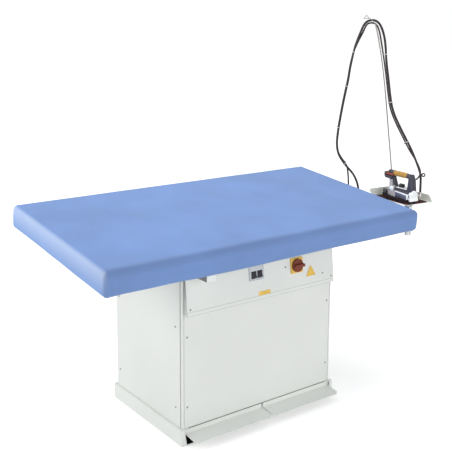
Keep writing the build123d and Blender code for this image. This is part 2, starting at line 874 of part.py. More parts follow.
# Steam plant
def make_boiler():
    """Lying boiler with domed ends, heater flange and two bosses."""
    drum = Rot(90, 0, 0) * Cylinder(boiler_d / 2, boiler_length)
    drum = fillet(drum.edges().filter_by(GeomType.CIRCLE), 34)
    flange = Pos(0, -boiler_length / 2 - 5, 0) * Rot(90, 0, 0) * Cylinder(52, 12)
    body = drum + flange
    for y in (-90, 90):
        body = body + Pos(0, y, boiler_d / 2) * Cylinder(15, 24)
    return Pos(boiler_x, 0, boiler_z) * body


def make_cradle():
    """Two saddle plates on a base strip."""
    left = boiler_x - cradle_w / 2
    right = boiler_x + cradle_w / 2
    cradle = span(left, right, -cradle_l / 2, cradle_l / 2, deck_top, deck_top + cradle_thick)
    for y in (-saddle_y, saddle_y):
        cradle = cradle + span(left, right, y - saddle_thick / 2, y + saddle_thick / 2, deck_top,
                               boiler_z - saddle_drop)
    drum = Pos(boiler_x, 0, boiler_z) * Rot(90, 0, 0) * Cylinder(boiler_d / 2 + fit_gap, boiler_length)
    return cradle - drum


def make_steam_valve():
    """Solenoid valve on the front boss."""
    low = boiler_z + boiler_d / 2 + 12
    body = span(boiler_x - 18, boiler_x + 18, -90 - 22, -90 + 22, low, low + 26)
    coil = span_cylinder(boiler_x, -90, 17, low + 26, low + 66)
    outlet = rod((boiler_x + 18, -90, low + 13), (boiler_x + 34, -90, low + 13), 8)
    return fillet(body.edges().filter_by(Axis.Z), 3) + coil + outlet


def make_safety_valve():
    """Spring loaded relief valve on the rear boss."""
    low = boiler_z + boiler_d / 2 + 12
    body = span_cylinder(boiler_x, 90, 11, low, low + 30)
    cap = span_cylinder(boiler_x, 90, 8, low + 30, low + 46)
    return body + chamfer(cap.edges().sort_by(Axis.Z)[-1], 3)


def make_tank():
    """Water tank with a filler neck, standing on the deck."""
    x1 = half_w - panel_wall - 12
    x0 = fan_x + housing_d / 2 + tank_gap
    y1 = rear_face - 24
    tank = span(x0, x1, y1 - tank_l, y1, deck_top, deck_top + tank_h)
    tank = fillet(tank.edges().filter_by(Axis.Z), tank_wall_r)
    tank = fillet(tank.faces().sort_by(Axis.Z)[-1].edges(), 6)
    neck = span_cylinder((x0 + x1) / 2, y1 - tank_l / 2, 24, deck_top + tank_h, deck_top + tank_h + 18)
    return tank + neck


def make_pump():
    """Feed pump: motor and pump head on a foot plate."""
    x = half_w - 150
    y = -150
    z = deck_top + pump_d / 2 + 6
    motor = rod((x, y, z), (x + pump_length * 0.6, y, z), pump_d / 2)
    head = rod((x - pump_length * 0.4, y, z), (x, y, z), pump_d / 2 - 8)
    foot = span(x - 20, x + 60, y - 30, y + 30, deck_top, deck_top + 8)
    return motor + head + foot


def make_contactor_box():
    """Electrical box on the back of the front cross rail."""
    back = front_y + 8 + cross_rail_depth
    x = half_w - 165
    high = cabinet_front_top - 4
    box = span(x, x + 130, back + fit_gap, back + 70, high - contactor_box_h, high)
    return fillet(box.edges().filter_by(Axis.Y), 6)


def gland(y, diameter):
    """Cable gland through the right side panel: nut, body and tapered nose."""
    nut = rod((half_w, y, gland_z), (half_w + 8, y, gland_z), diameter * 1.3)
    nose = rod((half_w + 8, y, gland_z), (half_w + gland_reach, y, gland_z), diameter * 0.95)
    nose = chamfer(nose.faces().sort_by(Axis.X)[-1].edges(), diameter * 0.3)
    tail = rod((half_w - panel_wall - 12, y, gland_z), (half_w, y, gland_z), diameter * 0.75)
    return nut + nose + tail


def make_glands():
    return [gland(steam_gland_y, steam_d), gland(cable_gland_y, cable_d)]


def make_right_side_panel():
    panel = mirror(make_side_panel(), about=Plane.YZ)
    for y, diameter in ((steam_gland_y, steam_d), (cable_gland_y, cable_d)):
        panel = panel - rod((half_w - 30, y, gland_z), (half_w + 1, y, gland_z), diameter * 0.75)
    return panel


# Iron rest
def make_arm():
    """Flat arm under the board with a clamp hub round the post."""
    top = hub_bottom + 20
    hub_place = rest_point(post_x, post_y)
    arm = span(arm_root_x, hub_place[0], hub_place[1] - arm_width / 2, hub_place[1] + arm_width / 2,
               top - arm_thick, top)
    hub = span_cylinder(hub_place[0], hub_place[1], hub_d / 2, hub_bottom, hub_bottom + 30)
    pad = span(arm_root_x, arm_root_x + 90, hub_place[1] - arm_width / 2, hub_place[1] + arm_width / 2,
               top, board_height)
    clamp_screw = rod((hub_place[0] - hub_d / 2 - 6, hub_place[1] - 12, hub_bottom + 8),
                      (hub_place[0], hub_place[1] - 12, hub_bottom + 8), 3)
    body = arm + hub + (pad - above_pan()) + clamp_screw
    return body - span_cylinder(hub_place[0], hub_place[1], post_d / 2, hub_bottom - 1, board_height)


def rest_point(x, y):
    """A point of the rest's own frame in the table's frame."""
    turn = math.radians(rest_turn)
    across = x * math.cos(turn) - y * math.sin(turn)
    along = x * math.sin(turn) + y * math.cos(turn)
    return (rest_x + across, rest_y + along)


def make_post():
    place = rest_point(post_x, post_y)
    post = span_cylinder(place[0], place[1], post_d / 2, post_bottom, carrier_low())
    return chamfer(post.edges().sort_by(Axis.Z)[0], 1.5)


def carrier_low():
    return tray_z - tray_wall - carrier_t


def make_carrier():
    """Bar on the post that carries the tray and ends in the pole's socket."""
    high = tray_z - tray_wall
    run = Vector(pole_x - post_x, pole_y - post_y)
    middle = ((pole_x + post_x) / 2, (pole_y + post_y) / 2)
    angle = math.degrees(math.atan2(run.Y, run.X))
    bar = Pos(middle[0], middle[1], high - carrier_t / 2) * Rot(0, 0, angle) * Box(run.length, carrier_w,
                                                                                carrier_t)
    plate = span_cylinder(post_x, post_y, carrier_w / 2 + 4, high - carrier_t, high)
    socket = span_cylinder(pole_x, pole_y, socket_d / 2, high - socket_low, high + socket_high)
    bore = span_cylinder(pole_x, pole_y, pole_d / 2, high - socket_low + 6, high + socket_high + 1)
    eased = plate & span(-200, 200, -tray_front, 200, 0, board_height + 100)
    return on_rest(bar + eased + socket - bore)


def tray_outline(inset, height):
    """Plan of the tray, flared with height, at a height above its floor."""
    flare = tray_flare * height / tray_rim
    left = -tray_left - flare * 0.25 + inset
    right = tray_right + flare - inset
    front = -tray_front - 60
    back = tray_back + tray_flare_back * height / tray_rim - inset
    middle = Pos((left + right) / 2, (front + back) / 2, tray_z + height)
    return middle * Rectangle(right - left, back - front)


def make_tray():
    """Folded tray with flared rims at the back and sides, open at the front."""
    outer = loft([tray_outline(0, -tray_wall), tray_outline(0, tray_rim)])
    inner = loft([tray_outline(tray_wall, 0), tray_outline(tray_wall, tray_rim + tray_wall)])
    top = tray_z + tray_rim
    front_cut = span(-200, 200, -tray_front - 100, -tray_front, tray_z - 20, top + 20)
    round_cut = span(-200, 200, -tray_front - 1, -tray_front + tray_round, tray_z, top + 20)
    centre = (0, -tray_front + tray_round, tray_z + tray_round)
    keep = Pos(*centre) * Rot(0, 90, 0) * Cylinder(tray_round, 500)
    quarter = span(-200, 200, -tray_front - 1, -tray_front + tray_round, tray_z, tray_z + tray_round)
    round_cut = round_cut - (keep & quarter)
    return on_rest(outer - inner - front_cut - round_cut)


def make_mat():
    """Heat resistant mat with rounded corners and rows of low bumps."""
    mid_x = (tray_right - tray_left) / 2
    mid_y = (tray_back - tray_front) / 2
    mat = Pos(mid_x, mid_y, tray_z + mat_thick / 2 - 0.5) * Box(mat_w, mat_l, mat_thick - 1)
    mat = fillet(mat.edges().filter_by(Axis.Z), 12)
    rows = int(mat_l / mat_bump_pitch)
    places = GridLocations(mat_w - 24, mat_bump_pitch, 2, rows)
    middle = Pos(mid_x, mid_y, tray_z + mat_thick - 1.5)
    bumps = [middle * place * Cylinder(5, 3) for place in places]
    return on_rest(mat + bumps)


def from_end(points):
    """Points given from the board's right end, the rest's middle and the board's height."""
    return [(board_length / 2 + x, rest_y + y, board_height + z) for x, y, z in points]


def pole_points():
    """Route of the pole, from the bottom of its socket to the hook."""
    foot = rest_point(pole_x, pole_y)
    low = tray_z - tray_wall - socket_low + 6
    leaning = [(148, 128, 216), (139, 134, 306), (128, 142, 426), (115, 151, 546), (100, 162, 656),
               (87, 172, 736), (77, 179, 782)]
    return [(foot[0], foot[1], low), (foot[0], foot[1], board_height + 56),
            (foot[0] - 8, foot[1] + 4, board_height + 136)] + from_end(leaning)


def make_pole():
    """Sprung steel rod that leans over under the weight of the hoses, with a wire eye."""
    path = FilletPolyline(*pole_points(), radius=pole_radii(pole_points()))
    section = Plane(origin=path @ 0, z_dir=path % 0) * Circle(pole_d / 2)
    rod_part = sweep(section, path=path)
    wire = from_end([(77, 179, 782), (64, 189, 804), (53, 197, 811), (41, 206, 827), (32, 213, 811),
                     (53, 197, 811)])
    hook = rod_part
    for start, end in zip(wire, wire[1:]):
        hook = hook + rod(start, end, hook_wire / 2) + Pos(*end) * Sphere(hook_wire / 2)
    return hook + Pos(*wire[0]) * Sphere(pole_d / 2)


def pole_radii(points):
    corners = [Vector(*p) for p in points]
    radii = []
    for before, corner, after in zip(corners, corners[1:], corners[2:]):
        turn = math.radians((corner - before).get_angle(after - corner))
        shorter = min((corner - before).length, (after - corner).length)
        radii.append(arc_share * shorter / math.tan(turn / 2))
    return radii


# Iron
def iron_place(shape):
    return on_rest(Pos(0, 0, iron_z) * shape)


def sole_plan(width, rear, nose):
    """Boat shaped outline: square heel, sides that curve in to a blunt nose."""
    half = width / 2
    left_heel = [(-half, 0), (-half, rear + 8), (-half + 8, rear)]
    right_heel = [(half - 8, rear), (half, rear + 8), (half, 0)]
    heel = Polyline(*left_heel, *right_heel)
    right = ThreePointArc((half, 0), (half * 0.7, nose * 0.56), (6, nose))
    tip = Line((6, nose), (-6, nose))
    left = ThreePointArc((-6, nose), (-half * 0.7, nose * 0.56), (-half, 0))
    return make_face(Curve([heel, right, tip, left]))


def make_sole():
    sole = extrude(sole_plan(sole_w, sole_rear, sole_nose), amount=sole_t, dir=(0, 0, 1))
    rim = sole.faces().sort_by(Axis.Z)[-1].edges()
    return iron_place(chamfer(rim, 2.5))


def make_iron_body():
    """Cast body on the sole: tapering front, raised rear box, front column and side boss."""
    plan = sole_plan(body_w, body_rear, body_front)
    lower = Pos(0, 0, sole_t) * extrude(plan, amount=body_h, dir=(0, 0, 1))
    rear_box = span(-body_w / 2, body_w / 2, body_rear, 0, sole_t, sole_t + body_top_h)
    rear_box = fillet(rear_box.edges().filter_by(Axis.Y).sort_by(Axis.Z)[-2:], 5)
    column = span(-column_w / 2, column_w / 2, column_rear, column_front, sole_t + body_h, column_top)
    column = fillet(column.edges().filter_by(Axis.Z), 6)
    boss = rod((-boss_reach, boss_y, boss_z), (boss_reach, boss_y, boss_z), boss_r)
    dome = span(-dome_w / 2, dome_w / 2, body_rear - dome_t, body_rear, sole_t + 2, dome_h - dome_w / 2)
    spring = dome_h - dome_w / 2
    round_top = rod((0, body_rear - dome_t, spring), (0, body_rear, spring), dome_w / 2)
    dome = dome + (round_top & span(-dome_w, dome_w, -200, 0, spring, dome_h))
    return iron_place(lower + rear_box + column + boss + dome)


def make_handle():
    """Moulded handle frame: rear leg, front leg, base bar, nose lobe and cable nozzle."""
    half = handle_w / 2
    base_low = sole_t + body_top_h + fit_gap
    foot = leg_rear_foot + 22
    rear = [(foot, base_low), (foot, dome_h + 2), (leg_rear_foot + 6, dome_h + 10),
            (leg_rear_top - 8, grip_height - 6), (leg_rear_top, grip_height + 12), (grip_rear, grip_height + 10),
            (grip_rear, grip_height - 15), (-38, 62), (-38, base_low)]
    front = [(20, base_low), (20, 58), (grip_front, grip_height - 15), (grip_front, grip_height + 13),
             (48, grip_height + 18), (60, grip_height + 14), (lobe_front - 4, grip_height + 2),
             (lobe_front, grip_height - 8), (lobe_front - 10, grip_height - 22), (54, grip_height - 28),
             (46, 74), (42, base_low)]
    base = span(-half - 3, half + 3, foot, 42, base_low, base_low + 7)
    rear_leg = side_profile(rear, -half, half)
    front_leg = side_profile(front, -half, half)
    legs = fillet(rear_leg.edges().filter_by(Axis.X), 2.5) + fillet(front_leg.edges().filter_by(Axis.X), 2.5)
    pocket = span(-button_w / 2 - fit_gap, button_w / 2 + fit_gap, 58 - fit_gap, 58 + button_l + fit_gap,
                  grip_height - 12, grip_height + 60)
    seat_w = column_w / 2 + fit_gap
    seat_top = column_top + fit_gap
    column_seat = span(-seat_w, seat_w, column_rear - fit_gap, column_front + fit_gap, 0, seat_top)
    tang = rod((0, grip_rear - 4, grip_height), (0, grip_front + 4, grip_height), 7)
    stem = Pos(0, dial_y, base_low) * Cylinder(dial_stem_d / 2 + running_gap, 60)
    nozzle = rod(handle_nozzle()[0], handle_nozzle()[1], cable_d / 2 + 3)
    boss_seat = rod((-handle_w, boss_y, boss_z), (handle_w, boss_y, boss_z), boss_r + fit_gap)
    frame = legs + base + tang + nozzle
    return iron_place(frame - pocket - column_seat - stem - boss_seat)


def handle_nozzle():
    """Ends of the strain relief on the back of the rear leg, in the iron's frame."""
    start = (4, leg_rear_top - 2, grip_height - 19)
    end = (start[0] + 15.4, start[1] - 11, start[2] + 11.2)
    return start, end


def make_grip():
    """Cork sleeve, thicker in the middle, round the handle's tang."""
    length = grip_front - grip_rear - 2 * fit_gap
    rise = ThreePointArc((0, grip_d / 2 - 2.5), (length / 2, grip_d / 2), (length, grip_d / 2 - 2.5))
    sides = Polyline((length, grip_d / 2 - 2.5), (length, 0), (0, 0), (0, grip_d / 2 - 2.5))
    profile = make_face(Curve([rise, sides]))
    sleeve = revolve(profile, axis=Axis.X)
    bore = rod((-1, 0, 0), (length + 1, 0, 0), 7)
    sleeve = Pos(0, grip_rear + fit_gap, grip_height) * Rot(0, 0, 90) * (sleeve - bore)
    return iron_place(sleeve)


def make_button():
    """Steam button let into the top of the handle's nose."""
    low = grip_height - 12 + button_travel + 1
    button = span(-button_w / 2, button_w / 2, 58, 58 + button_l, low, grip_height + 17)
    slope_cut = Pos(0, 58 + button_l, grip_height + 21) * Rot(-22, 0, 0) * Box(40, 90, 16)
    button = button - slope_cut
    return iron_place(fillet(button.edges().filter_by(Axis.Z), 2))


def make_dial():
    """Temperature dial on its stem, with a raised pointer."""
    base_low = sole_t + body_top_h + fit_gap
    low = base_low + 7 + fit_gap
    knob = Cylinder(dial_d / 2, dial_t, align=(Align.CENTER, Align.CENTER, Align.MIN))
    knob = fillet(knob.edges().sort_by(Axis.Z)[-1], 1.5)
    pointer = Pos(0, 7, dial_t) * Box(3, 12, 2)
    stem = Pos(0, 0, -3) * Cylinder(dial_stem_d / 2, 8)
    return iron_place(Pos(0, dial_y, low) * (knob + pointer + stem))


def make_inlet():
    """Steam inlet: a nut on the dome's side, a short pipe and a nozzle that points up."""
    z = 26
    side = dome_w / 2
    nut = rod((side, inlet_y, z), (side + 8, inlet_y, z), 5.5)
    pipe = rod((side + 8, inlet_y, z), (inlet_x, inlet_y, z), 4.5)
    nozzle = span_cylinder(inlet_x, inlet_y, inlet_od / 2, z - 6.5, inlet_top())
    return iron_place(nut + pipe + nozzle)


def inlet_top():
    return 42


def to_table(point):
    """A point of the iron's frame in the table's frame."""
    x, y = rest_point(point[0], point[1])
    return (x, y, iron_z + point[2])


# Hoses: points chosen by hand, from the cabinet up to the hook and down to the iron
hook_steam, hook_cable = from_end([(69.9, 199.1, 803), (69.1, 199.6, 790)])

steam_rise_points = [
    (half_w + gland_reach, steam_gland_y, gland_z), (half_w + 75, steam_gland_y, gland_z),
    (half_w + 145, steam_gland_y - 3, gland_z - 20)] + from_end([
        (-110, 207, -204), (-44, 204, -180), (4, 205, -138), (29, 208, -88), (36, 214, -39), (37, 226, 8),
        (28, 248, 51), (8, 270, 82), (-16, 284, 116), (-35, 294, 152), (-44, 297, 200), (-43, 292, 254),
        (-39, 287, 306), (-33, 276, 384), (-26, 265, 456), (-19, 256, 512), (-12, 252, 576), (-4, 246, 630),
        (5, 242, 671), (17, 235.5, 712), (30.6, 226.4, 754), (41.2, 219, 785), (57.6, 207.6, 802)]) + [
            hook_steam]

cable_rise_points = [
    (half_w + gland_reach, cable_gland_y, gland_z), (half_w + 70, cable_gland_y, gland_z),
    (half_w + 133, cable_gland_y, gland_z - 14)] + from_end([
        (-120, 295, -198), (-56, 292, -176), (-8, 290, -142), (22, 288, -98), (33, 286, -48), (32, 283, 2),
        (26, 282, 44), (14, 278, 90), (-10, 292, 124), (-29, 302, 158), (-38, 305, 206), (-37, 300, 262),
        (-33, 295, 312), (-27, 284, 392), (-20, 273, 464), (-13, 264, 520), (-6, 260, 584), (3, 254, 634),
        (13.5, 248.5, 668), (26.5, 238, 708), (39.5, 221, 749), (47.8, 214.5, 777), (57.6, 207.6, 789.5)]) + [
            hook_cable]

steam_drop_points = [hook_steam] + from_end([
    (82.2, 190.6, 804), (100.3, 178, 790), (113.4, 168.9, 762), (123.2, 162, 724), (128.5, 156.5, 676),
    (130, 151, 610), (135.2, 136.6, 522), (134.2, 121, 444), (131, 101, 380), (132, 67, 323),
    (135, 23, 261), (137, -22, 201), (136, -62, 138), (132, -92, 88)])

cable_drop_points = [hook_cable] + from_end([
    (80.6, 191.6, 790.5), (93.7, 182.5, 777), (102.7, 176.3, 750), (108.5, 172.3, 718), (115.5, 166, 670),
    (121, 157.5, 608), (126.5, 143, 520.6), (125.4, 127.2, 442.3), (122, 106.5, 377.5), (123, 71.7, 319.6),
    (126, 27.4, 257.4), (126, -16, 196), (124, -62, 160), (126, -96, 132), (121, -112, 107)])


def steam_drop_route():
    """The falling steam hose, straight down into the mouth of the inlet."""
    mouth = to_table((inlet_x, inlet_y, inlet_top()))
    return steam_drop_points + [(mouth[0], mouth[1], mouth[2] + 37), mouth]


def cable_drop_route():
    """The falling cable, round into the nozzle on the handle."""
    start, end = handle_nozzle()
    mouth = Vector(*to_table(end))
    run = (mouth - Vector(*to_table(start))).normalized()
    before = mouth + run * 24
    return cable_drop_points + [(before.X, before.Y, before.Z), (mouth.X, mouth.Y, mouth.Z)]


def hose_tie(steam_a, steam_b, cable_a, cable_b):
    """A strap round both hoses at the middle of a run."""
    steam = (Vector(*steam_a) + Vector(*steam_b)) * 0.5
    cable = (Vector(*cable_a) + Vector(*cable_b)) * 0.5
    along = Vector(*steam_b) - Vector(*steam_a)
    across = cable - steam
    middle = (steam + cable) * 0.5
    place = Plane(origin=middle, x_dir=across, z_dir=along)
    outer_r = steam_d / 2 + fit_gap + tie_wall
    inner_r = steam_d / 2 + fit_gap
    gap = across.length
    band = SlotCenterToCenter(gap, 2 * outer_r) - SlotCenterToCenter(gap, 2 * inner_r)
    return place * (Pos(0, 0, -tie_width / 2) * extrude(band, amount=tie_width))


def make_ties(steam, cable, runs):
    """Straps at the middle of the given runs, where the hoses lie side by side."""
    return [hose_tie(steam[i], steam[i + 1], cable[i], cable[i + 1]) for i in runs]


def build():
    left_pedal, right_pedal = pedal_ends()
    rockers = rocker_centres()
    parts["table_cover"] = on_board(make_cover())
    parts["board_padding"] = on_board(make_padding())
    parts["perforated_sheet"] = on_board(make_air_sheet())
    parts["vacuum_pan"] = make_pan()
    parts["heating_element"] = make_element()
    parts["suction_duct"] = make_duct()
    parts["pan_rails"] = make_pan_rails()
    parts["cross_rails"] = make_cross_rails()
    parts["plinth_sides"] = [plinth_side(), mirror(plinth_side(), about=Plane.YZ)]
    parts["plinth_cross_strips"] = make_plinth_cross()
    parts["base_deck"] = make_deck()
    parts["corner_posts"] = [make_corner_post(), mirror(make_corner_post(), about=Plane.YZ)]
    parts["side_panel_left"] = make_side_panel()
    parts["side_panel_right"] = make_right_side_panel()
    parts["rear_panel"] = make_rear_panel()
    parts["lower_front_panel"] = make_lower_panel()
    parts["control_panel"] = make_control_panel()
    parts["panel_screws"] = make_screws()
    parts["support_beam"] = make_beam()
    parts["main_switch_plate"] = make_switch_plate()
    parts["main_switch_knob"] = make_knob()
    parts["rocker_bezel"] = make_bezel()
    parts["rocker_left"] = make_rocker(rockers[0])
    parts["rocker_right"] = make_rocker(rockers[1])
    parts["pedal_left"] = make_pedal(*left_pedal)
    parts["pedal_right"] = make_pedal(*right_pedal)
    parts["pedal_shaft"] = make_shaft()
    parts["pedal_hangers"] = make_hangers()
    parts["pedal_springs"] = make_springs()
    parts["pedal_switches"] = make_pedal_switches()
    parts["fan_motor"] = make_motor()
    parts["fan_shaft"] = make_fan_shaft()
    parts["fan_impeller"] = make_impeller()
    parts["fan_housing"] = make_housing()
    parts["boiler"] = make_boiler()
    parts["boiler_cradle"] = make_cradle()
    parts["boiler_valves"] = [make_steam_valve(), make_safety_valve()]
    parts["water_tank"] = make_tank()
    parts["feed_pump"] = make_pump()
    parts["contactor_box"] = make_contactor_box()
    parts["hose_glands"] = make_glands()
    parts["rest_arm"] = make_arm()
    parts["rest_post"] = make_post()
    parts["rest_carrier"] = make_carrier()
    parts["rest_tray"] = make_tray()
    parts["rest_mat"] = make_mat()
    parts["hose_pole"] = make_pole()
    parts["iron_sole"] = make_sole()
    parts["iron_body"] = make_iron_body()
    parts["iron_handle"] = make_handle()
    parts["iron_grip"] = make_grip()
    parts["iron_button"] = make_button()
    parts["iron_dial"] = make_dial()
    parts["iron_inlet"] = make_inlet()
    parts["steam_hose_rise"] = tube_along(steam_rise_points, steam_d, "steam rise")
    parts["steam_hose_drop"] = tube_along(steam_drop_route(), steam_d, "steam drop")
    parts["iron_cable_rise"] = tube_along(cable_rise_points, cable_d, "cable rise")
    parts["iron_cable_drop"] = tube_along(cable_drop_route(), cable_d, "cable drop")
    parts["ties_rise"] = make_ties(steam_rise_points, cable_rise_points, (10, 14, 17, 20))
    parts["ties_drop"] = make_ties(steam_drop_points, cable_drop_points, (5, 8, 11))


build()
os.makedirs("parts", exist_ok=True)
for name, shape in parts.items():
    solid = Compound(children=shape) if isinstance(shape, list) else shape
    export_step(solid, "parts/" + name + ".step")
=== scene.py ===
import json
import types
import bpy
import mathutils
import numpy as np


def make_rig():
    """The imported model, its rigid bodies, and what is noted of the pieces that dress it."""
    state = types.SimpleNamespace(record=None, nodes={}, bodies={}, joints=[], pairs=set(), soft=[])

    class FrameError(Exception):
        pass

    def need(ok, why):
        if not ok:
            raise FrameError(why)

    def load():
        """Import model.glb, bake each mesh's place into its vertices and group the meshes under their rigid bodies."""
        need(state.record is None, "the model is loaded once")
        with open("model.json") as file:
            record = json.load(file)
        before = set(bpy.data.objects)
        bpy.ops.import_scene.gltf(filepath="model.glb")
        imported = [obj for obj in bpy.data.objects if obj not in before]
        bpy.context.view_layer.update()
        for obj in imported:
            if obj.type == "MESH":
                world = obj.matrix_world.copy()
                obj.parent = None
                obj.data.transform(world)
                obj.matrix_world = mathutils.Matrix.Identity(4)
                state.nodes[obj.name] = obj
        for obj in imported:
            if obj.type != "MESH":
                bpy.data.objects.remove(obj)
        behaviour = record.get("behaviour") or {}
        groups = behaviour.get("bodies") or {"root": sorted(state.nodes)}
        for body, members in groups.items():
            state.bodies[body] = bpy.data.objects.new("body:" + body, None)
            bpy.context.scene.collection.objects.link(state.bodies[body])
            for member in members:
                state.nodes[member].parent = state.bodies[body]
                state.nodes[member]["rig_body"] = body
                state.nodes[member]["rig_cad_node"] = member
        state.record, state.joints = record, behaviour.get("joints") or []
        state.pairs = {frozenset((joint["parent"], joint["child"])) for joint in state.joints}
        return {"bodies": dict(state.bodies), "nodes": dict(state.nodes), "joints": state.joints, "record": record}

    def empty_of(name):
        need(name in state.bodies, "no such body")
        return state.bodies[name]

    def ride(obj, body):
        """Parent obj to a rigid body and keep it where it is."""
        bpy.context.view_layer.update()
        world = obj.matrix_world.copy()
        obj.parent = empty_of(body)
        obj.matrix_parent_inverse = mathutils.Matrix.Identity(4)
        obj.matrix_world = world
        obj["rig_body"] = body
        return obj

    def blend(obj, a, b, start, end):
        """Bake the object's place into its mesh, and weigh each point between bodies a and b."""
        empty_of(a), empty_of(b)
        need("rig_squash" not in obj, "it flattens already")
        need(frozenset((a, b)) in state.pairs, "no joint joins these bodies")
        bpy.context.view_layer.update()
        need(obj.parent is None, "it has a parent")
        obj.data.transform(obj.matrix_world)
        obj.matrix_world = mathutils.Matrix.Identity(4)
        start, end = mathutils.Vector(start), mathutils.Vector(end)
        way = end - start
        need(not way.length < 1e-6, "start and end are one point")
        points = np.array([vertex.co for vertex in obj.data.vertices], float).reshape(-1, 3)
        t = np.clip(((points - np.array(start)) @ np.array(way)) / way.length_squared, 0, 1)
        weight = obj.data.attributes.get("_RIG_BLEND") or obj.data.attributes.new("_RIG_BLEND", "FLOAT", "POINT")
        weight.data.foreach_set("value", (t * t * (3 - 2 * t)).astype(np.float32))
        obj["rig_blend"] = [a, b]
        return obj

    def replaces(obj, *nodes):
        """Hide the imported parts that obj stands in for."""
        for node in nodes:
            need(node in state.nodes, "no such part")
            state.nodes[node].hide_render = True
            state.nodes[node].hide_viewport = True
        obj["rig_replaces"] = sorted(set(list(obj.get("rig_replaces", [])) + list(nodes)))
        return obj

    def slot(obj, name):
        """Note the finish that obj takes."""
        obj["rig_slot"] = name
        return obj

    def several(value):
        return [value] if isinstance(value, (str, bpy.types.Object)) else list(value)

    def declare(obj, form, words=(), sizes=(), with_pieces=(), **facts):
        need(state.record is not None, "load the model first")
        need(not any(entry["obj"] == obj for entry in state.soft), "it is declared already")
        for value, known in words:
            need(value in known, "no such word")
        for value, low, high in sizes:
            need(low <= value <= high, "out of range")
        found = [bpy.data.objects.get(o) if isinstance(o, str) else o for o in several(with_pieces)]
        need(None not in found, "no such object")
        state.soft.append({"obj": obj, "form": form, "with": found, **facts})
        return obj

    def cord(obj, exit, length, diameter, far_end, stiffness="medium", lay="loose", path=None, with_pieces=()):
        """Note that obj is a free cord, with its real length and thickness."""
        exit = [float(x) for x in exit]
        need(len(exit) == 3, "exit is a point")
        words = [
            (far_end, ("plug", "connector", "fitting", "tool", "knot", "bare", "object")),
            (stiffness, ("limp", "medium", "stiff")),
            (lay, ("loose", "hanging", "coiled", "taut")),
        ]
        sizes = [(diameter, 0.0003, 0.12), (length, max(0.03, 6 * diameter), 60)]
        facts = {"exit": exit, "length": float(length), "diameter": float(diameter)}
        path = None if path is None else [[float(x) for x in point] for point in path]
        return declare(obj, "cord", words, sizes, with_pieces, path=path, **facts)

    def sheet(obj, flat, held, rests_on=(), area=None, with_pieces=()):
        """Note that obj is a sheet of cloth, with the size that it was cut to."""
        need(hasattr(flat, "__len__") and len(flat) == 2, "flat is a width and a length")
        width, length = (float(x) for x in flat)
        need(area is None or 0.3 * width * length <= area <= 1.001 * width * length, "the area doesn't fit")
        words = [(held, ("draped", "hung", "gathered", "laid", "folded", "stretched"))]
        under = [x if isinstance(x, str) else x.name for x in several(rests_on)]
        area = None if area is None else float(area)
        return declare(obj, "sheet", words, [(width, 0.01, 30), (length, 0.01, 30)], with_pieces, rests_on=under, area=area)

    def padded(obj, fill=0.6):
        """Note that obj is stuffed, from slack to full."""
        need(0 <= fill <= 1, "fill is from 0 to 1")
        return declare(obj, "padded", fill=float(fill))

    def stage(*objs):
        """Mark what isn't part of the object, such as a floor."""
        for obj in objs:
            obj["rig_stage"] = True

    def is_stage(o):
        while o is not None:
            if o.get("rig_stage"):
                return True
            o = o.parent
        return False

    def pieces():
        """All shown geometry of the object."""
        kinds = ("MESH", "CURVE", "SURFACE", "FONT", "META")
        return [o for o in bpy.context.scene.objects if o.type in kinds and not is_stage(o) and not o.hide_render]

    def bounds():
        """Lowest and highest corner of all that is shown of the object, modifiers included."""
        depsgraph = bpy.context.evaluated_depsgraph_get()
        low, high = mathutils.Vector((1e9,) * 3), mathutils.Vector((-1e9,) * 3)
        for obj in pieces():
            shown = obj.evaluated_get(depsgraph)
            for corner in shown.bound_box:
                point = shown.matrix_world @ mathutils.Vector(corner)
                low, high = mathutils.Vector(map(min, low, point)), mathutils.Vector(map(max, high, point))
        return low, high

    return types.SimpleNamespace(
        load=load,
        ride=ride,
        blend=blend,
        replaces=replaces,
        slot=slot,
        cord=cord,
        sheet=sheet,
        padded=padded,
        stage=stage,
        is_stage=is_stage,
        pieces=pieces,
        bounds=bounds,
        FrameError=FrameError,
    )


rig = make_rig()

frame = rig.load()
cad_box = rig.bounds()

import json
import math

import bpy
from mathutils import Matrix, Vector, noise

bpy.ops.object.select_all(action="DESELECT")

# Cabinet carcass: plinth strips, deck, corner posts and cross rails, folded from 2 mm steel
# sheet, spot welded, then sprayed with light grey powder and baked. The deck stays zinc
# plated, because it is bolted in afterwards and nobody sees it.
cabinet_shade = (228, 231, 227)


def paint_chart(red, green, blue):
    """A shade given in steps of 255, as the shader wants it."""
    steps = [step / 255 for step in (red, green, blue)]
    return [step / 12.92 if step <= 0.04045 else ((step + 0.055) / 1.055) ** 2.4
            for step in steps] + [1]


def lighter(shade, share):
    """The same shade, lighter or darker by a share."""
    return [min(255, step * (1 + share)) for step in shade]


def shader_of(finish):
    """A finish's node tree and its shader."""
    return finish.node_tree, finish.node_tree.nodes["Principled BSDF"]


def start_finish(name):
    """A new finish, with its node tree and its shader."""
    finish = bpy.data.materials.new(name)
    finish.use_nodes = True
    return finish, *shader_of(finish)


def own_place(tree):
    """Where each point lies on its own piece, in metres."""
    return tree.nodes.new("ShaderNodeTexCoord").outputs["Object"]


def clouds(tree, scale, detail=2, stretch=(1, 1, 1), turn=(0, 0, 0)):
    """Soft noise in the metal's or cloth's own place, in blotches per metre."""
    mapping = tree.nodes.new("ShaderNodeMapping")
    mapping.inputs["Scale"].default_value = stretch
    mapping.inputs["Rotation"].default_value = turn
    cloud = tree.nodes.new("ShaderNodeTexNoise")
    cloud.inputs["Scale"].default_value = scale
    cloud.inputs["Detail"].default_value = detail
    tree.links.new(own_place(tree), mapping.inputs["Vector"])
    tree.links.new(mapping.outputs["Vector"], cloud.inputs["Vector"])
    return cloud.outputs["Fac"]


